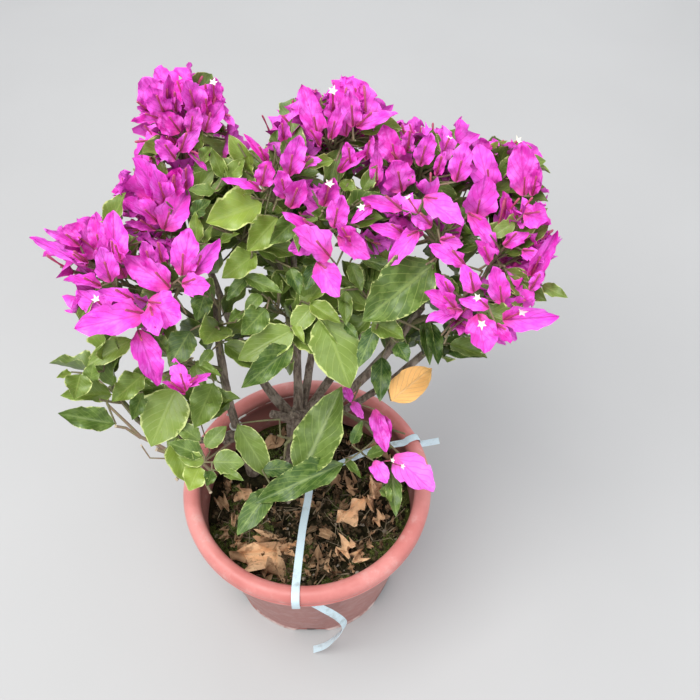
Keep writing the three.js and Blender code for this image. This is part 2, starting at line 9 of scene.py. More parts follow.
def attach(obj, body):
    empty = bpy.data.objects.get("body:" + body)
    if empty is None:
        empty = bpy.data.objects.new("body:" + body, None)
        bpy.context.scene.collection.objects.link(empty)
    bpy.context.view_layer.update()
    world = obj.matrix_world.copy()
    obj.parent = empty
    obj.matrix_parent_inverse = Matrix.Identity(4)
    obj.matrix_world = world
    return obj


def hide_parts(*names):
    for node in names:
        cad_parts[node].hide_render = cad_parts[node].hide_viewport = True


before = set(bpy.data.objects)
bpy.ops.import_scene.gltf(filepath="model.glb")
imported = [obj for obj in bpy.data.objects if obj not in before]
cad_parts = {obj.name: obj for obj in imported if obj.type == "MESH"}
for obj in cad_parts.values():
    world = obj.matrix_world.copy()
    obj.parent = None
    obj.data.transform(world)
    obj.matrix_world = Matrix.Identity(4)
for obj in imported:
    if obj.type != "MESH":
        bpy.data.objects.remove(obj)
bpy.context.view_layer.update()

# The nursery pot: one injection-moulded shell of terracotta-red plastic, with a rolled lip, a tapered
# wall and a foot ring cut by six low arches. It stands on the floor and holds everything else. Sizes are
# in millimetres here and further on, and MM turns them into metres where a mesh is made.
MM = 0.001
POT_HEIGHT = 185
RIM_RADIUS = 125
FOOT_RADIUS = 92
POT_WALL = 3
LIP_DEPTH = 18
LIP_REACH = 9
LIP_BAND = 17
ROLL_HEIGHT = 9.0
ROLL_RADIUS = 8.5
ROLL_TURNS = (-0.12, 1.02, 17)
FLOOR_HEIGHT = 13
FOOT_RING_HEIGHT = 9
FOOT_RING_WIDTH = 5
PAD_RADIUS = 56
PAD_SLOPE = 8
NOTCHES = 6
NOTCH_HALF_WIDTH = 20
POT_COLUMNS = 240
# Steps outward and upward: the bead round the foot, and the moulded underside of the lip.
FOOT_BEAD = [(0.9, 0), (1.5, 0.5), (1.5, 2), (1.1, 3)]
LIP_UNDERSIDE = [(-2.6, -0.2), (-1.0, 0.5), (-0.5, 1.8), (-0.9, 3), (-1.8, 4), (-1.5, 5)]
# Tones, and the heights and distances from the axis, in metres, between which one fades into another.
# The wall's tones are the lip's plastic painted darker: painted shade on the wall below the lip.
SHADED_WALL_TONES = (0.17, 0.062, 0.056), (0.25, 0.105, 0.095)
LIP_TONES = (0.56, 0.175, 0.155), (0.72, 0.275, 0.250)
# The inner wall's tone is painted shade inside the pot, lifted a little for dust.
SHADED_INNER_WALL_TONE = (0.36, 0.145, 0.125)
DUST_TONE = (0.72, 0.50, 0.46)
WORN_FOOT_TONE = (0.62, 0.50, 0.46)
# A painted highlight: a pale line along the lower edge of the lip, and the heights it lies between.
LIP_EDGE_HIGHLIGHT_TONE = (0.86, 0.72, 0.68)
LIP_FROM_WALL = (0.160, 0.170)
INNER_FROM_AXIS = (0.1135, 0.1095)
INNER_FROM_LIP = (0.183, 0.176)
WORN_FOOT = (0.008, 0.002)
LIP_HIGHLIGHT_LOW = (0.1655, 0.1670)
LIP_HIGHLIGHT_HIGH = (0.1695, 0.1680)


def wall_radius(z):
    return FOOT_RADIUS + (RIM_RADIUS - LIP_REACH - FOOT_RADIUS) * z / (POT_HEIGHT - LIP_DEPTH)


def smooth_step(x, low, high):
    t = min(max((x - low) / (high - low), 0.0), 1.0)
    return t * t * (3 - 2 * t)


def turns_round(count):
    return [2 * math.pi * k / count for k in range(count)]


def notch_height(turn, radius):
    top = FLOOR_HEIGHT - POT_WALL - 0.5
    nearest = round((turn + math.pi / 2) * NOTCHES / (2 * math.pi)) * 2 * math.pi / NOTCHES - math.pi / 2
    across = abs(radius * math.sin(turn - nearest))
    t = np.linspace(0, 1, 12)
    xs = NOTCH_HALF_WIDTH * ((1 - t) ** 2 + 1.6 * t * (1 - t) + 0.35 * t**2)
    zs = top - (top + 1) * (1 - t) ** 2
    return max(float(np.interp(across, xs[::-1], zs[::-1])), 0.0)


def pot_profile():
    lip_bottom = POT_HEIGHT - LIP_DEPTH
    inside_foot = FOOT_RADIUS - POT_WALL - 1
    underside = FLOOR_HEIGHT - POT_WALL
    points = [(0, 0), (PAD_RADIUS, 0), (PAD_RADIUS + PAD_SLOPE, underside), (inside_foot, underside)]
    points += [(inside_foot, 0)] + [(FOOT_RADIUS + out, up) for out, up in FOOT_BEAD]
    points += [(wall_radius(z), z) for z in np.linspace(4, lip_bottom - 2.6, 16)]
    points += [(wall_radius(lip_bottom) + 0.6, lip_bottom - 1.6)]
    points += [(RIM_RADIUS + out, lip_bottom + up) for out, up in LIP_UNDERSIDE]
    for turn in np.linspace(*ROLL_TURNS) * math.pi:
        rise = ROLL_HEIGHT * math.sin(turn) * (1 if turn > 0 else 0.8)
        out = RIM_RADIUS - ROLL_RADIUS + ROLL_RADIUS * math.cos(turn)
        points.append((out, POT_HEIGHT - ROLL_HEIGHT + rise))
    points += [(wall_radius(z) - POT_WALL, z) for z in np.linspace(POT_HEIGHT - 16, FLOOR_HEIGHT, 8)]
    return points + [(0, FLOOR_HEIGHT)]


def new_piece(name, vertices, faces, smooth_angle=40):
    mesh = bpy.data.meshes.new(name)
    mesh.from_pydata([tuple(p) for p in vertices], [], faces)
    mesh.validate()
    mesh.polygons.foreach_set("use_smooth", [True] * len(mesh.polygons))
    mesh.set_sharp_from_angle(angle=math.radians(smooth_angle))
    piece = bpy.data.objects.new(name, mesh)
    bpy.context.scene.collection.objects.link(piece)
    return piece


def turned_shell(profile, columns):
    points = []
    rows = []
    for radius, z in profile:
        if radius == 0:
            rows.append([len(points)] * columns)
            points.append((0, 0, z * MM))
            continue
        rows.append(range(len(points), len(points) + columns))
        notched = z < FOOT_RING_HEIGHT and radius > FOOT_RADIUS - FOOT_RING_WIDTH
        for turn in turns_round(columns):
            height = max(z, notch_height(turn, radius)) if notched else z
            points.append((radius * math.cos(turn) * MM, radius * math.sin(turn) * MM, height * MM))
    faces = []
    for low, high in zip(rows, rows[1:]):
        for k in range(columns):
            n = (k + 1) % columns
            faces.append(list(dict.fromkeys([low[k], low[n], high[n], high[k]])))
    return points, faces


def add_node(tree, kind, wires, **settings):
    """A new node with its settings; each input in the wires is linked to a socket or takes a value."""
    made = tree.nodes.new(kind)
    for setting, value in settings.items():
        setattr(made, setting, value)
    for socket, value in wires.items():
        if isinstance(value, bpy.types.NodeSocket):
            tree.links.new(value, made.inputs[socket])
        else:
            made.inputs[socket].default_value = value
    return made


class Finish:
    """The finish of a surface, mixed from patterns that lie in the piece's own coordinates."""

    def __init__(self, name, roughness, shine=0.5):
        self.material = bpy.data.materials.new(name)
        self.material.use_nodes = True
        self.tree = self.material.node_tree
        self.surface = self.tree.nodes["Principled BSDF"].inputs
        self.surface["Roughness"].default_value = roughness
        self.surface["Specular IOR Level"].default_value = shine
        self.place = self.add("ShaderNodeTexCoord", "Object", {})

    def add(self, kind, output, wires, **settings):
        return add_node(self.tree, kind, wires, **settings).outputs[output]

    def noise(self, scale, detail, roughness=0.6, place=None):
        wires = {"Scale": scale, "Detail": detail, "Roughness": roughness}
        wires["Vector"] = self.place if place is None else place
        return self.add("ShaderNodeTexNoise", "Fac", wires)

    def fade(self, value, low, high, to_low=0.0, to_high=1.0):
        wires = {"Value": value, "From Min": low, "From Max": high, "To Min": to_low, "To Max": to_high}
        return self.add("ShaderNodeMapRange", "Result", wires, interpolation_type="SMOOTHSTEP")

    def sum_up(self, operation, a, b=0):
        return self.add("ShaderNodeMath", "Value", {0: a, 1: b}, operation=operation)

    def times(self, a, b):
        return self.sum_up("MULTIPLY", a, b)

    def plus(self, a, b):
        return self.sum_up("ADD", a, b)

    def mix(self, share, a, b):
        a, b = ((*tone, 1) if isinstance(tone, tuple) else tone for tone in (a, b))
        return self.add("ShaderNodeMix", 2, {0: share, 6: a, 7: b}, data_type="RGBA")

    def split(self, vector, axis):
        return self.add("ShaderNodeSeparateXYZ", axis, {"Vector": vector})

    def stored(self, name, output="Fac"):
        return self.add("ShaderNodeAttribute", output, {}, attribute_name=name)

    def lay_on(self, mixed, surface="Base Color"):
        self.tree.links.new(mixed, self.surface[surface])

    def bump(self, height, strength, distance):
        wires = {"Height": height, "Strength": strength, "Distance": distance}
        self.lay_on(self.add("ShaderNodeBump", "Normal", wires), "Normal")


paint = Finish("terracotta_plastic", 0.42)
height = paint.split(paint.place, "Z")
level = paint.add("ShaderNodeVectorMath", "Vector", {0: paint.place, 1: (1, 1, 0)}, operation="MULTIPLY")
from_axis = paint.add("ShaderNodeVectorMath", "Value", {0: level}, operation="LENGTH")
cloud = paint.fade(paint.noise(14, 5), 0.35, 0.65)
grain, dust = paint.noise(420, 3), paint.noise(55, 6, 0.72)
# Painted shade: the wall below the lip is painted darker than the lip's own plastic.
shaded_wall_colour, lip_colour = paint.mix(cloud, *SHADED_WALL_TONES), paint.mix(cloud, *LIP_TONES)
colour = paint.mix(paint.fade(height, *LIP_FROM_WALL), shaded_wall_colour, lip_colour)
# Painted shade inside the pot, below the lip, with a little dust in it.
inside = paint.times(paint.fade(from_axis, *INNER_FROM_AXIS), paint.fade(height, *INNER_FROM_LIP))
colour = paint.mix(inside, colour, SHADED_INNER_WALL_TONE)
colour = paint.mix(paint.times(paint.fade(dust, 0.52, 0.75), 0.42), colour, DUST_TONE)
worn_foot = paint.times(paint.fade(height, *WORN_FOOT), paint.fade(dust, 0.35, 0.55))
colour = paint.mix(worn_foot, colour, WORN_FOOT_TONE)
# Painted highlight: a pale, patchy line along the lower edge of the lip.
lip_edge = paint.times(paint.fade(height, *LIP_HIGHLIGHT_LOW), paint.fade(height, *LIP_HIGHLIGHT_HIGH))
colour = paint.mix(paint.times(lip_edge, paint.fade(dust, 0.38, 0.5)), colour, LIP_EDGE_HIGHLIGHT_TONE)
paint.lay_on(colour)
paint.lay_on(paint.fade(dust, 0.3, 0.7, 0.34, 0.6), "Roughness")
paint.bump(paint.plus(grain, dust), 0.25, 0.0004)

pot = new_piece("nursery_pot", *turned_shell(pot_profile(), POT_COLUMNS), smooth_angle=50)
pot.data.materials.append(paint.material)
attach(pot, "root")
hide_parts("pot")

# The soil: dark potting mix that has sunk well below the lip, lumpy, with green moss in patches, crumbs
# and grit on top. It fills the pot and is level where the stems come out of it.
SOIL_TOP = POT_HEIGHT - 58
SOIL_EDGE = wall_radius(SOIL_TOP) - POT_WALL
SOIL_GAP = 0.6
SOIL_FOOT = FLOOR_HEIGHT + 0.3
STEM_FEET = [(-12, 62), (-62, 40)]
FOOT_CLEARING = 38
CLEARING_EDGE = 16
STEM_ROOM = 20
SOIL_RINGS = 44
SOIL_COLUMNS = 150
EARTH_TONES = (0.004, 0.004, 0.002), (0.036, 0.031, 0.014)
GRIT_TONE = (0.20, 0.17, 0.11)
GREEN_SOIL_TONES = (0.020, 0.030, 0.006), (0.095, 0.110, 0.028)
EDGE_ROOM = 4
CRUMBS = 1700
CRUMB_SIZES = (0.6, 3.0)
CRUMB_TONES = (0.007, 0.006, 0.003), (0.12, 0.088, 0.050)
PALE_CRUMB_TONE = (0.36, 0.31, 0.25)
MOSS_TUFTS = 3600
MOSS_SIZES = (1.5, 3.6)
MOSS_BLADES = 5
MOSS_TONES = (0.034, 0.050, 0.008), (0.300, 0.370, 0.110)


def dice(seed):
    state = seed

    def roll(low, high):
        nonlocal state
        state = (state * 1664525 + 1013904223) % 2**32
        return low + (high - low) * state / 2**32

    return roll


def from_stems(x, y):
    return min(math.hypot(x - fx, y - fy) for fx, fy in STEM_FEET)


def soil_height(x, y):
    broad = 3.2 * math.sin(x * 0.09 + 1) * math.cos(y * 0.08)
    narrow = 2.2 * math.sin(x * 0.19 - y * 0.15)
    lumpy = smooth_step(from_stems(x, y), FOOT_CLEARING, FOOT_CLEARING + CLEARING_EDGE)
    return SOIL_TOP + (broad + narrow + 0.02 * y) * lumpy


def fine_soil_height(x, y):
    rough = noise.fractal(Vector((x * 0.07, y * 0.07, 0)), 0.9, 2.1, 5)
    return soil_height(x, y) + 1.6 * rough


def moss_share(x, y):
    patches = noise.noise(Vector((x * 0.028 + 3.1, y * 0.028 - 1.7, 0.4)))
    fine = noise.noise(Vector((x * 0.12, y * 0.12, 5.0)))
    near_wall = smooth_step(math.hypot(x, y), 40, 100)
    return smooth_step(patches + 0.45 * fine + 0.25 * near_wall, -0.12, 0.28)


def soil_mesh():
    points = [(0, 0, fine_soil_height(0, 0))]
    for ring in range(1, SOIL_RINGS + 1):
        radius = (SOIL_EDGE - SOIL_GAP) * ring / SOIL_RINGS
        for turn in turns_round(SOIL_COLUMNS):
            x, y = radius * math.cos(turn), radius * math.sin(turn)
            level = fine_soil_height(x, y)
            if ring > SOIL_RINGS - 3:
                level = SOIL_TOP + 0.5 * (level - SOIL_TOP)
            points.append((x, y, level))
    low = wall_radius(FLOOR_HEIGHT) - POT_WALL - SOIL_GAP
    points += [(low * math.cos(turn), low * math.sin(turn), SOIL_FOOT) for turn in turns_round(SOIL_COLUMNS)]
    points.append((0, 0, SOIL_FOOT))
    faces = []
    last_ring = 1 + SOIL_RINGS * SOIL_COLUMNS
    for k in range(SOIL_COLUMNS):
        n = (k + 1) % SOIL_COLUMNS
        faces.append((0, 1 + k, 1 + n))
        for ring in range(SOIL_RINGS):
            a, b = 1 + ring * SOIL_COLUMNS, 1 + (ring + 1) * SOIL_COLUMNS
            faces.append((a + k, b + k, b + n, a + n))
        faces.append((len(points) - 1, last_ring + n, last_ring + k))
    return [(x * MM, y * MM, z * MM) for x, y, z in points], faces


def store(piece, name, values, kind="FLOAT"):
    made = piece.data.attributes.new(name, kind, "POINT")
    made.data.foreach_set("vector" if kind == "FLOAT_VECTOR" else "value", np.ravel(values))


def start_tree(name, inputs):
    """An empty tree with its named inputs, and the sockets that hand them out."""
    tree = bpy.data.node_groups.new(name, "GeometryNodeTree")
    for entry, kind in inputs.items():
        tree.interface.new_socket(entry, in_out="INPUT", socket_type="NodeSocket" + kind)
    tree.interface.new_socket("Geometry", in_out="OUTPUT", socket_type="NodeSocketGeometry")
    return tree, tree.nodes.new("NodeGroupInput").outputs


def end_tree(tree, grown, finish):
    """Makes what has grown real, gives it its finish and hands it out."""
    real = add_node(tree, "GeometryNodeRealizeInstances", {"Geometry": grown})
    wires = {"Geometry": real.outputs["Geometry"], "Material": finish}
    painted = add_node(tree, "GeometryNodeSetMaterial", wires)
    add_node(tree, "NodeGroupOutput", {"Geometry": painted.outputs["Geometry"]})
    return tree


def said_by_points(tree, name, kind):
    made = add_node(tree, "GeometryNodeInputNamedAttribute", {"Name": name}, data_type=kind)
    return made.outputs["Attribute"]


def planting_tree():
    """Sets one of several kinds on each point, turned, sized and shaded as the point says."""
    inputs = {"Points": "Geometry", "Kinds": "Collection", "Overall size": "Float", "Finish": "Material"}
    tree, entry = start_tree("planting", inputs)
    wires = {"Collection": entry["Kinds"], "Separate Children": True, "Reset Children": True}
    kinds = add_node(tree, "GeometryNodeCollectionInfo", wires)
    wires = {"Euler": said_by_points(tree, "turn", "FLOAT_VECTOR")}
    turned = add_node(tree, "FunctionNodeEulerToRotation", wires)
    wires = {0: said_by_points(tree, "size", "FLOAT_VECTOR"), "Scale": entry["Overall size"]}
    sized = add_node(tree, "ShaderNodeVectorMath", wires, operation="SCALE")
    wires = {"Points": entry["Points"], "Instance": kinds.outputs["Instances"], "Pick Instance": True}
    wires["Instance Index"] = said_by_points(tree, "kind", "INT")
    wires["Rotation"] = turned.outputs["Rotation"]
    wires["Scale"] = sized.outputs["Vector"]
    planted = add_node(tree, "GeometryNodeInstanceOnPoints", wires)
    return end_tree(tree, planted.outputs["Instances"], entry["Finish"])


def run_tree(piece, tree, name, settings):
    """Runs a tree on the piece and keeps only the plain mesh that comes out."""
    modifier = piece.modifiers.new("grow", "NODES")
    modifier.node_group = tree
    for item in tree.interface.items_tree:
        if item.in_out == "INPUT" and item.name in settings:
            modifier[item.identifier] = settings[item.name]
    bpy.context.view_layer.update()
    found = piece.evaluated_get(bpy.context.evaluated_depsgraph_get())
    made = bpy.data.objects.new(name, bpy.data.meshes.new_from_object(found))
    bpy.context.scene.collection.objects.link(made)
    piece.modifiers.remove(modifier)
    bpy.data.objects.remove(piece)
    made.data.polygons.foreach_set("use_smooth", [True] * len(made.data.polygons))
    return made


def plant_out(name, spots, kinds, finish):
    """One joined piece from many spots: (place, turn matrix, size, kind, shade, tone), all in metres."""
    places, turns, *rest = zip(*spots)
    points = new_piece(name + "_points", places, [])
    store(points, "turn", [tuple(turn.to_euler("XYZ")) for turn in turns], "FLOAT_VECTOR")
    said = (("size", "FLOAT_VECTOR"), ("kind", "INT"), ("shade", "FLOAT"), ("tone", "FLOAT"))
    for (word, kind), values in zip(said, rest):
        store(points, word, values, kind)
    group = bpy.data.collections.new(name + "_kinds")
    for kind in kinds:
        bpy.context.scene.collection.objects.unlink(kind)
        group.objects.link(kind)
    made = run_tree(points, planting, name, {"Kinds": group, "Overall size": 1.0, "Finish": finish})
    for kind in kinds:
        bpy.data.objects.remove(kind)
    bpy.data.collections.remove(group)
    return made


planting = planting_tree()
paint = Finish("mossy_potting_soil", 0.95, 0.08)
lumps, grit = paint.noise(90, 6, 0.7), paint.noise(700, 3)
earth = paint.mix(paint.fade(lumps, 0.35, 0.65), *EARTH_TONES)
earth = paint.mix(paint.times(paint.fade(grit, 0.66, 0.74), 0.35), earth, GRIT_TONE)
mossy = paint.mix(paint.fade(grit, 0.3, 0.7), *GREEN_SOIL_TONES)
moss_edge = paint.fade(paint.plus(paint.stored("moss"), paint.times(lumps, 0.8)), 0.85, 1.2)
paint.lay_on(paint.mix(moss_edge, earth, mossy))
paint.bump(paint.plus(lumps, grit), 0.7, 0.0015)

soil = new_piece("soil_bed", *soil_mesh(), smooth_angle=70)
store(soil, "moss", [moss_share(p.co.x / MM, p.co.y / MM) for p in soil.data.vertices])
soil.data.materials.append(paint.material)
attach(soil, "root")
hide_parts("soil")


def lump_kind(name, seed, squash):
    """A rough lump: the twelve corners of an icosahedron, each pushed in or out."""
    roll = dice(seed)
    golden = (1 + math.sqrt(5)) / 2
    signs = [(a, b * golden) for a in (-1, 1) for b in (-1, 1)]
    corners = [(0, a, b) for a, b in signs] + [(a, b, 0) for a, b in signs] + [(b, 0, a) for a, b in signs]
    corners = [Vector(corner) for corner in corners]
    points = [corner.normalized() * roll(0.7, 1.2) for corner in corners]
    faces = []
    for i, j, k in combinations(range(12), 3):
        if max((corners[a] - corners[b]).length for a, b in ((i, j), (j, k), (i, k))) < 2.1:
            normal = (points[j] - points[i]).cross(points[k] - points[i])
            outward = normal.dot(points[i] + points[j] + points[k]) > 0
            faces.append((i, j, k) if outward else (i, k, j))
    return new_piece(name, [(p.x, p.y, p.z * squash) for p in points], faces)


def moss_kind(name, seed):
    """A tuft of slim upright blades that lean apart."""
    roll = dice(seed)
    points = []
    for turn in turns_round(MOSS_BLADES):
        turn += roll(-0.4, 0.4)
        lean, tall = roll(0.3, 0.9), roll(0.7, 1.2)
        side = Vector((-math.sin(turn), math.cos(turn), 0)) * 0.16
        foot = Vector((math.cos(turn), math.sin(turn), 0)) * 0.15
        points += [foot - side, foot + side, Vector((math.cos(turn) * lean, math.sin(turn) * lean, tall))]
    return new_piece(name, points, [(3 * k, 3 * k + 1, 3 * k + 2) for k in range(MOSS_BLADES)])


def spot_within(edge, roll):
    turn, radius = roll(0, 2 * math.pi), edge * math.sqrt(roll(0, 1))
    return radius * math.cos(turn), radius * math.sin(turn)


def ground_spots(count, seed, size_range, wanted):
    roll = dice(seed)
    spots = []
    while len(spots) < count:
        x, y = spot_within(SOIL_EDGE - EDGE_ROOM, roll)
        if from_stems(x, y) < STEM_ROOM or roll(0, 1) > wanted(x, y):
            continue
        size = roll(*size_range) * MM
        spot = Vector((x, y, fine_soil_height(x, y) - 0.1)) * MM
        angle, lean, lean_way = roll(0, 6.28), roll(0, 0.6), roll(0, 6.28)
        lean_axis = Vector((math.cos(lean_way), math.sin(lean_way), 0))
        turn = Matrix.Rotation(angle, 3, "Z") @ Matrix.Rotation(lean, 3, lean_axis)
        spots.append((spot, turn, (size, size, size), int(roll(0, 3)), roll(0, 1), roll(0, 1)))
    return spots


paint = Finish("soil_crumbs", 0.95, 0.08)
shade = paint.stored("shade")
dark = paint.mix(shade, *CRUMB_TONES)
paint.lay_on(paint.mix(paint.fade(shade, 0.93, 0.96), dark, PALE_CRUMB_TONE))
paint.bump(paint.noise(500, 3), 0.6, 0.0008)
crumb_kinds = [lump_kind(f"crumb_{i}", 11 + i, 0.7 + 0.1 * i) for i in range(3)]
crumb_spots = ground_spots(CRUMBS, 5, CRUMB_SIZES, lambda x, y: 1)
crumbs = plant_out("soil_crumbs", crumb_spots, crumb_kinds, paint.material)
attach(crumbs, "root")

paint = Finish("moss", 0.9, 0.12)
moss_mix = paint.times(paint.plus(paint.stored("shade"), paint.noise(160, 3)), 0.6)
paint.lay_on(paint.mix(moss_mix, *MOSS_TONES))
moss_kinds = [moss_kind(f"moss_{i}", 31 + i) for i in range(3)]
moss_spots = ground_spots(MOSS_TUFTS, 6, MOSS_SIZES, moss_share)
moss = plant_out("moss_tufts", moss_spots, moss_kinds, paint.material)
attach(moss, "root")

# Trunk and boughs: grey-brown wood under thin, furrowed bark. The trunk is short and gnarled and stands in
# the soil on a wide foot. One stem rises beside it, and the boughs branch off from both, with slight
# knuckles; old prunings left short stubs.
TRUNK = [(-12, 62, 127.3), (-12, 62, 132), (-13, 62, 143), (-15, 64, 161), (-13, 67, 179), (-10, 69, 193)]
TRUNK += [(-9, 71, 207)]
TRUNK_RADII = [18, 14.5, 11, 10, 10.5, 12, 7.5]
TRUNK_GNARL = 0.16
BOUGH_RINGS = 6
BOUGH_GNARL = 0.1
KNUCKLE = 0.5
GROUND_FLARE = 1.6
STUB_GNARL = 0.12
BARK_SIDES = 18
BARK_STEP = 1.6
BARK_STRETCH = (1, 1, 0.22)
BARK_TONES = (0.115, 0.088, 0.064), (0.30, 0.245, 0.190)
LICHEN_TONE = (0.42, 0.37, 0.30)
# Name, the limb it starts on and where (or its foot in the soil), bend, end, thick, thin.
boughs = [
    ("left_stem", "ground", (-62, 40, 127.3), (-82, 42, 260), (-70, 56, 392), 4.8, 3),
    ("left_back_bough", "trunk", 0.8, (-62, 84, 240), (-88, 112, 410), 5.2, 3),
    ("left_low_bough", "left_stem", 0.3, (-125, 5, 225), (-146, -3, 300), 3.6, 2.5),
    ("centre_left_bough", "trunk", 1, (-8, 84, 300), (-20, 92, 420), 4, 2.7),
    ("centre_bough", "trunk", 0.93, (12, 108, 300), (26, 128, 440), 4, 2.7),
    ("right_bough", "trunk", 0.72, (52, 52, 258), (104, 56, 384), 5.4, 3.2),
    ("right_low_bough", "trunk", 0.6, (88, 76, 226), (150, 74, 366), 4, 2.6),
    ("right_back_bough", "trunk", 0.86, (70, 120, 290), (112, 152, 420), 4.2, 2.7),
    ("back_bough", "trunk", 0.62, (-10, 150, 240), (-14, 178, 380), 4.2, 2.7),
    ("front_shoot", "trunk", 0.45, (8, 26, 190), (2, 16, 262), 3.6, 2.2),
]
# Pruned stubs and cut twig ends: from, to, thick, thin.
STUBS = [
    ((-16, 64, 190), (-37, 58, 214), 5.2, 4.2),
    ((-8, 66, 196), (-16, 52, 222), 4.6, 3.6),
    ((-10, 62, 150), (-30, 34, 146), 5.0, 2.2),
    ((-72, 43, 190), (-84, 30, 204), 3.2, 2.6),
    ((6, 64, 222), (16, 56, 240), 3.4, 2.8),
]
limbs = {}
stretches = []


def curve(start, bend, end, steps):
    ts = [i / steps for i in range(steps + 1)]
    return [start * (1 - t) ** 2 + bend * (2 * t * (1 - t)) + end * t * t for t in ts]


def tapered(thick, thin, steps):
    return [thick + (thin - thick) * k / steps for k in range(steps + 1)]


def limb_start(parent, place, towards):
    centres, radii = limbs[parent]
    spot = place * (len(centres) - 1)
    i = min(math.floor(spot), len(centres) - 2)
    centre = centres[i].lerp(centres[i + 1], spot - i)
    axis = (centres[i + 1] - centres[i]).normalized()
    if place == 1:
        return centre - axis * 0.5
    outward = towards - centre
    outward -= axis * outward.dot(axis)
    return centre + outward.normalized() * (0.5 * radii[i])


def keep_clear(owner, centres, radii):
    for i in range(len(centres) - 1):
        stretches.append((owner, centres[i], centres[i + 1], max(radii[i], radii[i + 1])))


def add_limb(name, centres, radii):
    limbs[name] = (centres, radii)
    keep_clear(name, centres, radii)


def flowing(points, values, step):
    """A smooth run through the points, with a value carried along it."""
    made = []
    last = len(points) - 1
    for i in range(last):
        a, b, c, d = points[max(i - 1, 0)], points[i], points[i + 1], points[min(i + 2, last)]
        count = max(int((c - b).length / step), 1)
        for k in range(count):
            t = k / count
            square, cube = 2 * a - 5 * b + 4 * c - d, 3 * b - a - 3 * c + d
            spot = 0.5 * (2 * b + (c - a) * t + square * t**2 + cube * t**3)
            made.append((spot, values[i] + (values[i + 1] - values[i]) * smooth_step(t, 0, 1)))
    return made + [(points[last], values[last])]


def heading_at(run, i):
    return (run[min(i + 1, len(run) - 1)][0] - run[max(i - 1, 0)][0]).normalized()


def off_line(heading):
    """Straight up, or to the right where the heading itself is nearly upright."""
    return Vector((0, 0, 1)) if abs(heading.z) < 0.9 else Vector((1, 0, 0))


def bark_relief(spot, turn, radius, gnarl):
    """How far the bark stands from the middle of its limb, with furrows, knots and a fine grain."""
    east, north = math.cos(turn), math.sin(turn)
    furrow = noise.noise(Vector((east * 2.2, north * 2.2, spot.z * 0.05 + spot.x * 0.03)))
    knots = noise.noise(Vector((spot.x * 0.06, spot.y * 0.06, spot.z * 0.06)) + Vector((east, north, 0)))
    fine = noise.noise(Vector((east * 5, north * 5, spot.z * 0.22 + spot.y * 0.1)))
    return radius * (1 + 0.07 * furrow + gnarl * knots + 0.045 * fine)


def tube_faces(first, rings, sides):
    """The faces of a closed tube whose rings of points follow each other from the first point on."""
    faces = []
    for i in range(rings - 1):
        for k in range(sides):
            a, b = first + i * sides + k, first + i * sides + (k + 1) % sides
            faces.append((a, b, b + sides, a + sides))
    end = first + (rings - 1) * sides
    return faces + [tuple(range(first + sides - 1, first - 1, -1)), tuple(range(end, end + sides))]


def bark_tube(centres, radii, gnarl):
    run = flowing(centres, radii, BARK_STEP)
    first = len(wood_points)
    across = off_line(heading_at(run, 0))
    for i, (spot, radius) in enumerate(run):
        heading = heading_at(run, i)
        across = (across - heading * across.dot(heading)).normalized()
        other = heading.cross(across)
        for turn in turns_round(BARK_SIDES):
            out = bark_relief(spot, turn, radius, gnarl)
            wood_points.append((spot + (across * math.cos(turn) + other * math.sin(turn)) * out) * MM)
    wood_faces.extend(tube_faces(first, len(run), BARK_SIDES))


wood_points, wood_faces = [], []
add_limb("trunk", [Vector(p) for p in TRUNK], TRUNK_RADII)
bark_tube(*limbs["trunk"], TRUNK_GNARL)
for name, parent, place, bend, to, thick, thin in boughs:
    grounded = parent == "ground"
    start = Vector(place) if grounded else limb_start(parent, place, Vector(bend))
    centres = curve(start, Vector(bend), Vector(to), BOUGH_RINGS)
    radii = tapered(thick, thin, BOUGH_RINGS)
    radii = [radius + (KNUCKLE if i % 3 == 1 else 0) for i, radius in enumerate(radii)]
    if grounded:
        radii[0] = GROUND_FLARE * thick
    add_limb(name, centres, radii)
    bark_tube(centres, radii, BOUGH_GNARL)
for start, end, thick, thin in STUBS:
    start, end = Vector(start), Vector(end)
    middle = start.lerp(end, 0.5) + Vector((1.5, 0, 2))
    bark_tube([start, middle, end], tapered(thick, thin, 2), STUB_GNARL)

paint = Finish("furrowed_bark", 0.88)
stretched = paint.add("ShaderNodeMapping", "Vector", {"Vector": paint.place, "Scale": BARK_STRETCH})
furrows = paint.noise(320, 5, 0.65, stretched)
bark_colour = paint.mix(paint.fade(furrows, 0.38, 0.62), *BARK_TONES)
lichen = paint.fade(paint.noise(45, 4), 0.55, 0.68, 0.0, 0.55)
paint.lay_on(paint.mix(lichen, bark_colour, LICHEN_TONE))
paint.bump(furrows, 0.8, 0.0008)

wood = new_piece("trunk_and_boughs", wood_points, wood_faces, smooth_angle=60)
wood.data.materials.append(paint.material)
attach(wood, "root")
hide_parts("trunk", *[bough[0] for bough in boughs])

# The tie: one flat strap of pale-blue woven plastic. A run goes from under the front of the lip over the
# soil to the trunk, another leaves it for the right of the rim, and a loose tail hangs down the front.
STRAP_WIDTH = 7.6
STRAP_THICKNESS = 0.6
STRAP_STEP = 2.0
STRAP_TONES = (0.60, 0.79, 0.88), (0.78, 0.92, 0.97)
SOILED_TONE = (0.30, 0.33, 0.29)
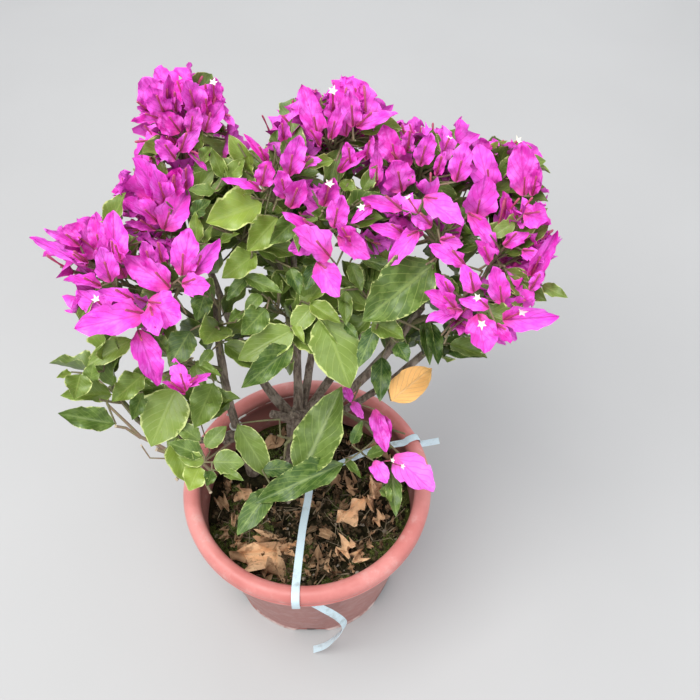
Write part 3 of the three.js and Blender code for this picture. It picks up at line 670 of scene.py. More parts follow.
# The outline across the strap, as shares of its half width and of its half thickness.
STRAP_SECTION = [(1, 0.35), (0.9, 1), (-0.9, 1), (-1, 0.35), (-1, -0.35), (-0.9, -1), (0.9, -1), (1, -0.35)]
OFF_LIP = 0.3 + STRAP_THICKNESS / 2 + 0.4
LIP_ROUND = [(-6.5, -20), (-0.5, -20), (OFF_LIP, -16), (OFF_LIP, -7), (-0.6, -2.2), (-4.2, 0.6)]
LIP_ROUND += [(-8.5, OFF_LIP), (-13.5, OFF_LIP - 0.9), (-17.5, -2.2)]
FRONT_RUN = [(-7, -RIM_RADIUS - out, POT_HEIGHT + up) for out, up in LIP_ROUND]
FRONT_RUN += [(-4, -50, POT_HEIGHT - 15), (1, 8, POT_HEIGHT - 27), (-7, 49, POT_HEIGHT - 36)]
RIGHT_CROSSING = math.radians(23.5)
OUT_X, OUT_Y = math.cos(RIGHT_CROSSING), math.sin(RIGHT_CROSSING)
OVER_SOIL = [(-3, 14, 156), (16, 26, 154), (36, 35, 156), (60, 41, 166), (82, 42, 178)]
OVER_RIM = [(RIM_RADIUS + out, POT_HEIGHT + up) for out, up in reversed(LIP_ROUND[2:])]
RIGHT_RUN = OVER_SOIL + [(OUT_X * radius, OUT_Y * radius, z) for radius, z in OVER_RIM]
RIGHT_RUN += [(120, 52, 165.5), (129, 54, 165), (138, 55, 166.5)]
RIGHT_WIDTHS = [(0, 1, 0)] * len(OVER_SOIL) + [(-OUT_Y, OUT_X, 0)] * (len(RIGHT_RUN) - len(OVER_SOIL))
TAIL_RUN = [(3, -116, 161), (12, -117.5, 151), (27, -119, 132), (36, -117, 105), (37, -114, 78)]
TAIL_RUN += [(30, -113, 50), (17, -115, 24), (3, -114, 6)]
TAIL_TWIST = math.radians(14)
TAIL_WIDTHS = [(math.cos(TAIL_TWIST * i), math.sin(TAIL_TWIST * i), 0) for i in range(len(TAIL_RUN))]


def ribbon(name, centres, widths):
    run = flowing([Vector(c) for c in centres], [Vector(w) for w in widths], STRAP_STEP)
    points, along = [], []
    travelled = 0
    for i, (spot, wide) in enumerate(run):
        heading = heading_at(run, i)
        wide = (wide - heading * wide.dot(heading)).normalized()
        thick = heading.cross(wide).normalized() * STRAP_THICKNESS / 2
        travelled += (spot - run[max(i - 1, 0)][0]).length
        for share, side in STRAP_SECTION:
            points.append((spot + wide * (share * STRAP_WIDTH / 2) + thick * side) * MM)
            along.append((share, travelled / STRAP_WIDTH, 0))
    made = new_piece(name, points, tube_faces(0, len(run), len(STRAP_SECTION)), smooth_angle=30)
    store(made, "weave", along, "FLOAT_VECTOR")
    return made


paint = Finish("pale_blue_strap", 0.38)
wires = {"Vector": paint.stored("weave", "Vector"), "Scale": 5}
ribs = paint.add("ShaderNodeTexWave", "Fac", wires, bands_direction="DIAGONAL")
soiled = paint.fade(paint.noise(60, 4, 0.65), 0.52, 0.72, 0, 0.6)
paint.lay_on(paint.mix(soiled, paint.mix(ribs, *STRAP_TONES), SOILED_TONE))
paint.bump(ribs, 0.5, 0.0003)
straps = [
    ("strap_front", FRONT_RUN, [(1, 0, 0)] * len(FRONT_RUN)),
    ("strap_right", RIGHT_RUN, RIGHT_WIDTHS),
    ("strap_tail", TAIL_RUN, TAIL_WIDTHS),
]
for name, centres, widths in straps:
    keep_clear(name, [Vector(c) for c in centres], [STRAP_WIDTH / 2] * len(centres))
    strap = ribbon(name + "_band", centres, widths)
    strap.data.materials.append(paint.material)
    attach(strap, "root")
    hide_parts(name)

# The crown's growth: every spray has a heart and a reach. Its stem starts on a bough, twigs spread from the
# stem, finer twigs from those, and leaves or threes of bracts stand on them, inside the spray's own space.
REACH = 57
STEM_STEPS = 3
STEM_RADII = tapered(2.6, 1.8, STEM_STEPS)
TWIG_STEPS = 4
TWIG_BOW = 0.06
TWIG_SPREAD = 0.85
TWIG_REACH = (0.2, 0.42)
TWIG_RADII = (1.5, 1.0)
TWIG_OVERLAP = 2
TWIG_CLEARANCE = 3
FINER_TWIGS = 5
FINER_RADII = (1.0, 0.75)
STALK_RADII = (0.75, 0.6)
LEAVES_PER_TWIG = 4
LEAVES_PER_BOUGH = 16
LEAF_LENGTH = 52
LEAF_TURN = 2.4
LEAF_TRIES = 7
BOUGH_LEAF_TRIES = 4
LEAF_OVERLAP = 12
LEAF_CLEARANCE = 2.0
LEAF_KINDS = 8
OPEN_LEAF_KINDS = 3
BRACT_LENGTH = 38
BRACT_OVERLAP = 7
BRACT_KINDS = 9
BRACT_OPENING = (18, 62)
STAR_KIND = 2
STAR_RARITY = 0.92
BLOOM_WINDOW_LOSS = 0.75
THIN_WINDOW_LOSS = 0.4
# The room that shoots, leaves and bracts keep from the lip and the soil.
OVER_LIP = 4
PAST_LIP = 3
INSIDE_LIP = 6
OFF_SOIL = 8
GOLDEN_TURN = math.pi * (3 - math.sqrt(5))
UP = Vector((0, 0, 1))
CROWN_HEART = Vector((10, 80, 330))
# What lies nearer than this along y is on the photograph's side, and how far behind a spray's heart
# a leaf still counts as standing before it.
FRONT_SIDE = 125
HEART_DEPTH = 8
# Name, the limb it starts on and where, heart, threes of bracts and leaves in the source, its tone of green
# (0 deep, 1 yellow) and of bloom (0 deep magenta, 1 faded), and how full its finer twigs are.
sprays = [
    ("left_top_bloom", "left_back_bough", 1, (-92, 146, 498), 9, 4, 0.4, 0.25, 0.8),
    ("left_upper_bloom", "left_back_bough", 0.92, (-104, 98, 460), 6, 4, 0.4, 0.3, 0.6),
    ("left_inner_bloom", "left_stem", 1, (-98, 36, 436), 6, 6, 0.4, 0.35, 0.6),
    ("left_outer_bloom", "left_stem", 0.85, (-146, 40, 458), 8, 3, 0.4, 0.3, 0.7),
    ("left_drooping_bloom", "left_stem", 0.68, (-100, -6, 386), 3, 6, 0.4, 0.3, 0.35),
    ("left_tip_leaves", "left_low_bough", 1, (-158, -4, 352), 0, 10, 0.5, 0.3, 0.3),
    ("left_low_leaves", "left_low_bough", 0.6, (-104, -8, 304), 0, 14, 0.6, 0.3, 0.35),
    ("left_mid_leaves", "left_stem", 0.9, (-62, 30, 396), 0, 10, 0.4, 0.3, 0.9),
    ("left_upper_leaves", "centre_left_bough", 0.9, (-50, 82, 446), 1, 14, 0.65, 0.3, 1.0),
    ("centre_left_bloom", "centre_left_bough", 1, (-16, 108, 488), 7, 5, 0.45, 0.25, 0.7),
    ("centre_top_bloom", "centre_bough", 1, (34, 142, 498), 8, 5, 0.4, 0.2, 0.8),
    ("centre_bloom", "centre_bough", 0.88, (36, 70, 470), 8, 6, 0.4, 0.25, 0.7),
    ("centre_leaves", "centre_left_bough", 0.7, (-8, 30, 390), 0, 16, 0.5, 0.3, 0.9),
    ("centre_low_leaves", "front_shoot", 1, (-18, -4, 256), 0, 9, 0.3, 0.3, 0.12),
    ("right_leaves", "right_bough", 0.8, (74, 40, 402), 0, 12, 0.35, 0.3, 0.8),
    ("right_top_bloom", "right_back_bough", 0.9, (98, 128, 476), 7, 5, 0.4, 0.15, 0.8),
    ("right_back_bloom", "right_back_bough", 1, (154, 128, 458), 8, 5, 0.4, 0.15, 0.8),
    ("right_mid_bloom", "right_bough", 1, (112, 70, 456), 7, 4, 0.35, 0.15, 0.8),
    ("right_outer_bloom", "right_low_bough", 1, (162, 68, 442), 8, 4, 0.4, 0.1, 0.8),
    ("right_low_bloom", "right_bough", 0.93, (138, 24, 420), 8, 5, 0.35, 0.1, 0.7),
    ("right_low_leaves", "right_low_bough", 0.75, (122, 52, 344), 0, 9, 0.2, 0.3, 0.5),
    ("faded_bloom", "right_bough", 0.28, (80, 8, 246), 3, 6, 0.3, 0.75, 0.1),
    ("back_left_leaves", "back_bough", 0.85, (-78, 176, 422), 4, 12, 0.4, 0.3, 1.0),
    ("back_bloom", "back_bough", 1, (4, 200, 440), 6, 10, 0.4, 0.3, 1.0),
    ("back_right_leaves", "right_back_bough", 0.78, (92, 192, 420), 5, 12, 0.4, 0.3, 1.0),
    ("back_low_leaves", "back_bough", 0.6, (-26, 184, 342), 0, 10, 0.3, 0.3, 1.0),
]
# The photograph's frame: where the camera stood, and the ellipses (centre and half sizes in pixels) in which
# the crown shows no bract, hardly a leaf, few leaves, or nothing between the camera and what lies behind.
CAMERA_SPOT = Vector((43.0, -385.3, 902.7))
CAMERA_TILT = 37.35
FOCAL_PIXELS = 800
FRAME_PIXELS = 700
LEAFY_WINDOWS = [(222, 200, 34, 62), (235, 262, 52, 30), (300, 335, 150, 56), (120, 420, 110, 60)]
LEAFY_WINDOWS += [(420, 345, 40, 36), (390, 440, 62, 60)]
BLOOM_WINDOWS = [(325, 150, 78, 72), (475, 215, 92, 95), (110, 278, 84, 60), (155, 192, 38, 42)]
BLOOM_WINDOWS += [(183, 100, 54, 34), (190, 262, 26, 40), (480, 310, 70, 40), (345, 235, 55, 35)]
THIN_WINDOWS = [(225, 340, 34, 62), (440, 350, 66, 42), (100, 400, 60, 52), (178, 440, 50, 56)]
OPEN_WINDOWS = [
    (320, 480, 112, 112), (420, 400, 50, 38), (90, 470, 90, 40), (252, 112, 24, 44), (412, 108, 46, 15),
    (502, 120, 56, 15), (130, 108, 17, 50), (158, 66, 14, 12), (44, 288, 31, 46), (272, 108, 16, 20),
    (560, 270, 12, 10), (66, 350, 20, 14), (48, 390, 9, 14), (226, 350, 13, 24), (405, 357, 13, 15),
    (128, 418, 14, 18), (176, 472, 10, 12), (50, 214, 26, 18), (577, 245, 16, 44), (535, 345, 34, 16),
    (116, 120, 13, 50), (84, 198, 32, 14), (490, 374, 60, 15), (310, 70, 34, 13), (48, 418, 30, 28),
    (384, 88, 13, 18),
]


def in_frame(spot):
    """Where a spot in millimetres falls in the photograph's frame, in pixels, and how far off it is."""
    tilt = math.radians(CAMERA_TILT)
    away = spot - CAMERA_SPOT
    ahead = away.y * math.sin(tilt) - away.z * math.cos(tilt)
    upward = away.y * math.cos(tilt) + away.z * math.sin(tilt)
    middle = FRAME_PIXELS / 2
    return middle + FOCAL_PIXELS * away.x / ahead, middle - FOCAL_PIXELS * upward / ahead, ahead


def in_windows(spot, windows):
    x, y, _ = in_frame(spot)
    return any(((x - cx) / rx) ** 2 + ((y - cy) / ry) ** 2 < 1 for cx, cy, rx, ry in windows)


def seen_at(heart, x, y, lead):
    """The spot seen at a pixel that lies nearest to a heart, brought some way towards the camera."""
    tilt = math.radians(CAMERA_TILT)
    across, upward = (x - FRAME_PIXELS / 2) / FOCAL_PIXELS, (FRAME_PIXELS / 2 - y) / FOCAL_PIXELS
    way = Vector((across, upward * math.cos(tilt) + math.sin(tilt), upward * math.sin(tilt) - math.cos(tilt)))
    way.normalize()
    return CAMERA_SPOT + way * ((heart - CAMERA_SPOT).dot(way) - lead)


# Leaves and bracts that stand out in the photograph, by spray: the pixels of root and tip, the width as a
# share of the length, and the tone. The rest of the crown leaves them in view.
SHOWN_LEAVES = {
    "centre_low_leaves": [
        (300, 478, 341, 386, 0.46, 0.42), (237, 424, 272, 479, 0.42, 0.5), (345, 463, 252, 502, 0.3, 0.05),
        (272, 487, 236, 534, 0.42, 0.1), (352, 445, 362, 421, 0.42, 0.05), (262, 470, 296, 466, 0.5, 0.0),
    ],
    "faded_bloom": [
        (392, 470, 396, 516, 0.36, 0.2), (345, 458, 362, 480, 0.3, 0.3), (366, 456, 394, 447, 0.4, 0.25),
        (382, 486, 392, 504, 0.5, 0.3),
    ],
    "left_low_leaves": [
        (177, 388, 148, 447, 0.74, 0.95), (214, 382, 194, 430, 0.6, 0.4), (201, 441, 176, 423, 0.55, 0.5),
        (204, 456, 169, 442, 0.5, 0.25), (205, 462, 180, 456, 0.6, 0.9), (200, 466, 189, 490, 0.9, 1.0),
        (212, 462, 243, 461, 0.78, 0.5), (212, 470, 206, 488, 0.6, 0.1), (222, 470, 243, 480, 0.4, 0.4),
        (205, 448, 224, 426, 0.6, 0.4), (143, 392, 132, 422, 0.5, 0.15),
    ],
    "left_tip_leaves": [
        (116, 424, 55, 414, 0.38, 0.25), (81, 373, 74, 401, 0.86, 0.6), (90, 382, 93, 364, 0.8, 0.5),
        (144, 374, 111, 404, 0.55, 0.4), (133, 339, 84, 363, 0.42, 0.6), (72, 372, 57, 377, 0.4, 0.95),
    ],
    "left_drooping_bloom": [(191, 330, 169, 366, 0.68, 0.1), (155, 334, 169, 353, 0.5, 0.15)],
    "left_mid_leaves": [
        (206, 291, 196, 323, 0.62, 0.1), (213, 349, 200, 364, 0.5, 0.3), (194, 361, 223, 378, 0.3, 0.3),
        (195, 363, 200, 384, 0.6, 0.4), (243, 311, 229, 321, 0.62, 0.3), (248, 276, 226, 300, 0.4, 0.1),
    ],
    "left_upper_leaves": [
        (263, 203, 205, 226, 0.6, 0.95), (278, 217, 246, 253, 0.62, 0.8), (257, 253, 221, 281, 0.56, 0.6),
        (196, 263, 221, 244, 0.62, 0.3), (197, 244, 195, 212, 0.44, 0.6), (203, 244, 212, 226, 0.4, 0.5),
        (215, 192, 191, 187, 0.5, 0.4), (223, 178, 212, 149, 0.46, 0.7), (226, 181, 244, 159, 0.6, 0.6),
        (246, 172, 249, 154, 0.7, 0.7), (200, 161, 214, 146, 0.6, 0.3), (217, 244, 242, 234, 0.36, 0.5),
        (191, 216, 213, 200, 0.6, 0.05), (252, 196, 236, 182, 0.5, 0.8),
    ],
    "centre_leaves": [
        (243, 276, 282, 292, 0.4, 0.3), (267, 308, 240, 337, 0.64, 0.25), (295, 329, 236, 359, 0.5, 0.55),
        (313, 306, 291, 329, 0.72, 0.8), (293, 322, 304, 342, 0.4, 0.85), (309, 302, 342, 325, 0.46, 0.85),
        (294, 345, 240, 391, 0.36, 0.1), (262, 294, 245, 309, 0.6, 0.3), (290, 267, 300, 297, 0.5, 0.0),
        (317, 262, 305, 290, 0.5, 0.0), (322, 314, 353, 389, 0.6, 0.6),
    ],
    "right_leaves": [
        (436, 262, 362, 324, 0.54, 0.25), (371, 321, 405, 341, 0.62, 0.55), (350, 262, 362, 291, 0.5, 0.3),
        (345, 290, 346, 325, 0.42, 0.45), (344, 322, 358, 339, 0.4, 0.0), (376, 325, 358, 366, 0.4, 0.0),
        (360, 258, 398, 269, 0.36, 0.1), (396, 342, 408, 361, 0.7, 0.0),
    ],
    "right_low_leaves": [
        (382, 356, 380, 401, 0.45, 0.0), (424, 315, 430, 365, 0.27, 0.2), (431, 322, 438, 367, 0.36, 0.0),
        (444, 322, 453, 339, 0.4, 0.0),
    ],
    "right_outer_bloom": [(541, 285, 567, 297, 0.44, 0.5), (516, 222, 490, 236, 0.5, 0.45)],
    "centre_top_bloom": [(362, 191, 378, 165, 0.5, 0.45), (340, 180, 358, 197, 0.5, 0.45)],
    "centre_left_bloom": [(335, 160, 300, 169, 0.3, 0.6), (300, 216, 268, 246, 0.5, 0.2)],
    "left_top_bloom": [(196, 150, 204, 130, 0.5, 0.4)],
}
SHOWN_BRACTS = {
    "left_top_bloom": [
        (165, 116, 147, 81, 0.6, 0.3), (168, 110, 169, 67, 0.28, 0.3), (160, 119, 128, 123, 0.28, 0.3),
        (197, 112, 182, 75, 0.62, 0.35), (214, 102, 215, 74, 0.5, 0.2), (205, 132, 223, 99, 0.62, 0.4),
        (190, 134, 199, 106, 0.6, 0.2), (180, 132, 158, 112, 0.75, 0.1), (224, 114, 235, 127, 0.4, 0.3),
        (176, 112, 176, 92, 0.5, 0.1), (150, 112, 133, 107, 0.3, 0.3), (208, 118, 206, 96, 0.5, 0.2),
    ],
    "left_upper_bloom": [
        (176, 160, 154, 140, 0.6, 0.3), (180, 152, 196, 130, 0.5, 0.35), (189, 150, 206, 169, 0.28, 0.3),
        (162, 196, 131, 157, 0.5, 0.4), (166, 204, 151, 164, 0.5, 0.3), (170, 196, 182, 165, 0.6, 0.2),
        (186, 190, 189, 158, 0.34, 0.2), (164, 230, 187, 190, 0.6, 0.4), (158, 222, 117, 198, 0.42, 0.2),
        (156, 230, 124, 222, 0.24, 0.3), (176, 196, 175, 168, 0.5, 0.0),
    ],
    "left_outer_bloom": [
        (88, 266, 28, 237, 0.18, 0.3), (80, 246, 46, 229, 0.26, 0.3), (101, 252, 94, 216, 0.46, 0.3),
        (114, 262, 113, 211, 0.54, 0.35), (111, 282, 99, 244, 0.54, 0.1), (101, 286, 62, 281, 0.36, 0.3),
        (110, 314, 78, 290, 0.62, 0.3), (146, 314, 73, 326, 0.42, 0.25), (134, 300, 95, 291, 0.36, 0.2),
        (122, 262, 112, 240, 0.4, 0.1), (88, 262, 72, 256, 0.5, 0.2),
    ],
    "left_inner_bloom": [
        (148, 302, 184, 320, 0.88, 0.35), (170, 288, 124, 254, 0.5, 0.4), (182, 276, 190, 227, 0.56, 0.4),
        (182, 284, 213, 286, 0.66, 0.45), (194, 274, 220, 237, 0.4, 0.2), (152, 268, 141, 238, 0.5, 0.1),
        (162, 262, 158, 240, 0.5, 0.0), (150, 306, 160, 342, 0.5, 0.35),
    ],
    "left_drooping_bloom": [
        (138, 330, 158, 387, 0.44, 0.35), (186, 391, 175, 359, 0.52, 0.3), (187, 387, 214, 373, 0.24, 0.3),
        (185, 393, 160, 382, 0.3, 0.2),
    ],
    "centre_left_bloom": [
        (268, 165, 246, 134, 0.22, 0.3), (284, 140, 281, 117, 0.5, 0.3), (289, 176, 301, 132, 0.5, 0.25),
        (261, 186, 273, 158, 0.62, 0.2), (262, 191, 223, 177, 0.2, 0.3), (286, 198, 277, 168, 0.62, 0.0),
        (290, 208, 310, 176, 0.5, 0.2), (300, 166, 319, 159, 0.5, 0.3),
    ],
    "centre_top_bloom": [
        (318, 137, 303, 85, 0.42, 0.45), (330, 140, 347, 97, 0.3, 0.35), (353, 127, 349, 88, 0.5, 0.35),
        (356, 127, 396, 112, 0.34, 0.3), (320, 146, 299, 125, 0.36, 0.2), (338, 172, 369, 149, 0.3, 0.2),
        (351, 166, 346, 141, 0.5, 0.1), (333, 112, 333, 92, 0.4, 0.2), (366, 160, 372, 138, 0.4, 0.2),
    ],
    "centre_bloom": [
        (324, 206, 337, 172, 0.52, 0.35), (334, 228, 343, 194, 0.62, 0.4), (316, 234, 284, 212, 0.28, 0.3),
        (330, 257, 291, 230, 0.62, 0.6), (338, 236, 370, 255, 0.55, 0.5), (317, 262, 340, 294, 0.62, 0.35),
        (372, 205, 352, 222, 0.4, 0.1), (402, 210, 362, 196, 0.34, 0.0), (352, 244, 330, 222, 0.5, 0.2),
    ],
    "right_top_bloom": [
        (396, 162, 384, 126, 0.6, 0.35), (407, 152, 412, 127, 0.5, 0.3), (420, 166, 433, 130, 0.5, 0.35),
        (402, 192, 391, 158, 0.85, 0.2), (376, 186, 378, 146, 0.34, 0.2), (456, 182, 470, 138, 0.5, 0.3),
        (436, 176, 446, 150, 0.4, 0.2),
    ],
    "right_back_bloom": [
        (490, 190, 478, 144, 0.58, 0.35), (524, 196, 521, 141, 0.56, 0.4), (476, 218, 486, 174, 0.7, 0.35),
        (532, 196, 540, 158, 0.34, 0.3), (506, 216, 502, 190, 0.5, 0.1),
    ],
    "right_mid_bloom": [
        (424, 197, 464, 224, 0.52, 0.4), (418, 231, 388, 264, 0.4, 0.35), (466, 266, 428, 245, 0.36, 0.3),
        (404, 234, 372, 226, 0.4, 0.1), (432, 226, 408, 214, 0.5, 0.1), (440, 240, 466, 246, 0.5, 0.6),
    ],
    "right_outer_bloom": [
        (524, 214, 553, 224, 0.72, 0.4), (468, 213, 500, 254, 0.34, 0.3), (531, 276, 558, 229, 0.3, 0.3),
        (522, 250, 545, 264, 0.5, 0.2), (504, 246, 526, 232, 0.5, 0.1), (502, 304, 492, 264, 0.5, 0.3),
        (530, 290, 548, 268, 0.4, 0.2),
    ],
    "right_low_bloom": [
        (452, 298, 431, 268, 0.34, 0.25), (456, 309, 423, 292, 0.5, 0.4), (462, 310, 427, 320, 0.46, 0.35),
        (489, 308, 461, 298, 0.42, 0.3), (478, 314, 484, 358, 0.64, 0.45), (496, 324, 513, 347, 0.4, 0.2),
        (503, 320, 561, 316, 0.4, 0.4), (474, 292, 464, 266, 0.6, 0.1), (490, 262, 474, 240, 0.5, 0.2),
    ],
    "faded_bloom": [
        (352, 402, 365, 420, 0.4, 0.6), (345, 386, 351, 403, 0.5, 0.4), (374, 409, 386, 453, 0.38, 0.4),
        (384, 416, 388, 440, 0.44, 0.3), (394, 456, 434, 491, 0.6, 0.9), (374, 461, 387, 484, 0.6, 0.55),
    ],
}
# Two white flowers of the faded spray, by the pixels of foot and star.
FADED_STARS = [((392, 463), (403, 467)), ((384, 461), (393, 461))]
# How far root and tip are brought towards the camera.
LEAF_LEADS = (14, 24)
BRACT_LEADS = (20, 30)
shown = []
spray_names = [spray[0] for spray in sprays]
for table, leads in ((SHOWN_LEAVES, LEAF_LEADS), (SHOWN_BRACTS, BRACT_LEADS)):
    for name, rows in table.items():
        heart = Vector(sprays[spray_names.index(name)][3])
        for x, y, tip_x, tip_y, width, tone in rows:
            root, tip = seen_at(heart, x, y, leads[0]), seen_at(heart, tip_x, tip_y, leads[1])
            shown.append((table is SHOWN_BRACTS, name, root, tip, width, tone))
shown_root = np.array([in_frame(root) for _, _, root, _, _, _ in shown])
shown_run = np.array([in_frame(tip) for _, _, _, tip, _, _ in shown]) - shown_root
shown_square = (shown_run[:, :2] ** 2).sum(1)


def hides_shown(spot):
    """Whether something at this spot would stand before a leaf or bract that the photograph shows."""
    place = np.array(in_frame(spot))
    share = np.clip(((place - shown_root)[:, :2] * shown_run[:, :2]).sum(1) / shown_square, 0.1, 0.95)
    nearest = shown_root + shown_run * share[:, None]
    apart = np.hypot(*(nearest - place)[:, :2].T)
    return bool(np.any((apart < 0.3 * np.sqrt(shown_square) + 4) & (place[2] < nearest[:, 2] + 5)))


hearts = np.array([spray[3] for spray in sprays], float)


def inside_own_space(spray, point, overlap):
    square = ((hearts - np.array(point)) ** 2).sum(1)
    if square[spray] > REACH**2:
        return False
    apart = np.linalg.norm(hearts - hearts[spray], axis=1)
    return bool(np.all(np.delete(square - square[spray] + 2 * overlap * apart, spray) > 0))


def clear_of_pot(point):
    radius = math.hypot(point.x, point.y)
    if point.z > POT_HEIGHT + OVER_LIP or radius > RIM_RADIUS + PAST_LIP:
        return True
    return radius < RIM_RADIUS - LIP_BAND - INSIDE_LIP and point.z > SOIL_TOP + OFF_SOIL


def clear_of_limbs(owner, point, clearance):
    spot = np.array(point)
    share = np.clip(((spot - stretch_from) * stretch_run).sum(1) / stretch_square, 0, 1)
    away = np.linalg.norm(stretch_from + stretch_run * share[:, None] - spot, axis=1)
    return bool(np.all((away > stretch_radius + clearance) | (stretch_owner == owner)))


def spread_direction(pole, i, count, share):
    down = 1 - 2 * share * (i + 0.5) / count
    out = math.sqrt(1 - down * down)
    turn = GOLDEN_TURN * i
    across = off_line(pole).cross(pole).normalized()
    other = pole.cross(across)
    return pole * down + across * (out * math.cos(turn)) + other * (out * math.sin(turn))


def turned_about(vector, axis, angle):
    return Matrix.Rotation(angle, 3, axis) @ vector


def slanting_out(axis, angle):
    """A way that leaves an axis at a slant, turned about it by an angle."""
    return turned_about(spread_direction(axis, 0, 1, 0.5), axis, angle)


def facing(along, face):
    """The turn that lays a blade's length along one way and its upper face towards another."""
    side = along.cross(face).normalized()
    up = side.cross(along).normalized()
    return Matrix((side, along.normalized(), up)).transposed()


stems = []
for name, on, at, heart, *_ in sprays:
    start, heart = limb_start(on, at, Vector(heart)), Vector(heart)
    lift = start.lerp(heart, 0.5) + UP * (0.08 * (heart - start).length)
    stem = curve(start, lift, heart, STEM_STEPS)
    stems.append(stem)
    keep_clear(name, stem, STEM_RADII)
stretch_owner = np.array([owner for owner, *_ in stretches])
stretch_from = np.array([tuple(a) for _, a, _, _ in stretches])
stretch_run = np.array([tuple(b - a) for _, a, b, _ in stretches])
stretch_square = (stretch_run**2).sum(1)
stretch_radius = np.array([radius for *_, radius in stretches])

twigs = []
leaves = []
bracts = []
flowers = []


def add_twig(start, end, thick, thin, roll):
    shift = Vector((roll(-1, 1), roll(-1, 1), roll(-1, 1))) * (TWIG_BOW * (end - start).length)
    path = curve(start, start.lerp(end, 0.5) + shift, end, TWIG_STEPS)
    twigs.append((path, tapered(thick, thin, TWIG_STEPS), roll(0, 1)))
    return path


def has_room(spray, middle, tip, roll):
    """Whether a leaf keeps to its own space, is clear of what is solid and suits the photograph."""
    before_heart = in_frame(middle)[2] < in_frame(Vector(sprays[spray][3]))[2] + HEART_DEPTH
    if before_heart and in_windows(middle, BLOOM_WINDOWS) and roll(0, 1) < BLOOM_WINDOW_LOSS:
        return False
    if in_windows(middle, THIN_WINDOWS) and roll(0, 1) < THIN_WINDOW_LOSS:
        return False
    for spot in (middle, tip):
        if not inside_own_space(spray, spot, LEAF_OVERLAP) or not clear_of_pot(spot):
            return False
        if in_windows(spot, OPEN_WINDOWS) or hides_shown(spot):
            return False
        if not clear_of_limbs(sprays[spray][0], spot, LEAF_CLEARANCE):
            return False
    return True


def add_leaf(spray, root, along, face, length, width, tone, roll, stalk, kind=None):
    foot = root + along * stalk
    if kind is None and not has_room(spray, foot + along * (0.45 * length), foot + along * length, roll):
        return False
    add_twig(root, foot, *STALK_RADII, roll)
    size = Vector((width * length, length, length)) * MM
    picked = int(roll(0, LEAF_KINDS)) if kind is None else kind
    leaves.append((foot * MM, facing(along, face), size, picked, roll(0, 1), tone))
    return True


def add_bloom(spray, spot, axis, tone, roll, size=1.0):
    """Up to three bracts round a tip, each with a slim tube standing before it."""
    turn = roll(0, 2 * math.pi)
    side = off_line(axis).cross(axis).normalized()
    length = BRACT_LENGTH * size * roll(0.85, 1.12)
    made = 0
    for k in range(3):
        out = turned_about(side, axis, turn + 2 * math.pi * k / 3 + roll(-0.2, 0.2))
        opening = math.radians(roll(*BRACT_OPENING))
        along = axis * math.cos(opening) + out * math.sin(opening)
        face = axis * math.sin(opening) - out * math.cos(opening)
        tip = spot + along * length
        if not inside_own_space(spray, tip, BRACT_OVERLAP) or not clear_of_pot(tip):
            continue
        if (tip.y < FRONT_SIDE and in_windows(tip, LEAFY_WINDOWS)) or in_windows(tip, OPEN_WINDOWS):
            continue
        if hides_shown(tip) or hides_shown(spot.lerp(tip, 0.5)):
            continue
        made += 1
        long = length * roll(0.92, 1.05) * MM
        blade_size = (long * roll(0.52, 0.74), long, long)
        turned = facing(along, face)
        bracts.append((spot * MM, turned, blade_size, int(roll(0, BRACT_KINDS)), roll(0, 1), tone))
        tube_way = (axis * 1.0 + out * roll(0.2, 0.5)).normalized()
        kind = STAR_KIND if spot.y > FRONT_SIDE and roll(0, 1) > STAR_RARITY else int(roll(0, STAR_KIND))
        tall = roll(22, 29) * size * MM
        foot = (spot + tube_way * 1.0) * MM
        flowers.append((foot, facing(tube_way, -out), (tall, tall, tall), kind, roll(0, 1), tone))
    return made


def dress_twig(spray, start, end, direction, green, count, roll):
    """Leaves set round the outer half of a twig, drooping a little."""
    for k in range(count):
        root = start.lerp(end, 0.45 + 0.55 * (k + 1) / count)
        side = slanting_out(direction, k * LEAF_TURN + roll(0, 1))
        for _ in range(LEAF_TRIES):
            along = (side + direction * roll(0.1, 1.1) + UP * roll(-0.55, 0.15)).normalized()
            face = UP + direction * 0.6 + Vector((roll(-0.5, 0.5), roll(-0.7, 0.3), 0))
            length = LEAF_LENGTH * roll(0.6, 1.08)
            tone = min(max(green + roll(-0.25, 0.25), 0), 1)
            if add_leaf(spray, root, along, face, length, roll(0.44, 0.6), tone, roll, roll(4, 9)):
                break
            side = turned_about(side, direction, roll(-0.9, 0.9))


def dress_bough(name, roll):
    """Single leaves along the outer half of a bough, each in the space of the spray nearest to it."""
    centres, radii = limbs[name]
    for k in range(LEAVES_PER_BOUGH):
        place = (0.42 + 0.56 * k / LEAVES_PER_BOUGH) * (len(centres) - 1)
        i = min(math.floor(place), len(centres) - 2)
        axis = (centres[i + 1] - centres[i]).normalized()
        side = slanting_out(axis, LEAF_TURN * k + roll(0, 1))
        root = centres[i].lerp(centres[i + 1], place - i) + side * (0.8 * radii[i])
        spray = int(np.argmin(((hearts - np.array(root)) ** 2).sum(1)))
        for _ in range(BOUGH_LEAF_TRIES):
            along = (side + axis * roll(0, 0.8) + UP * roll(-0.4, 0.2)).normalized()
            tone = sprays[spray][6] + roll(-0.3, 0.3)
            length = LEAF_LENGTH * roll(0.55, 0.95)
            face = UP + axis * 0.4
            if add_leaf(spray, root, along, face, length, roll(0.46, 0.6), tone, roll, roll(6, 12)):
                break
            side = turned_about(side, axis, roll(-1, 1))


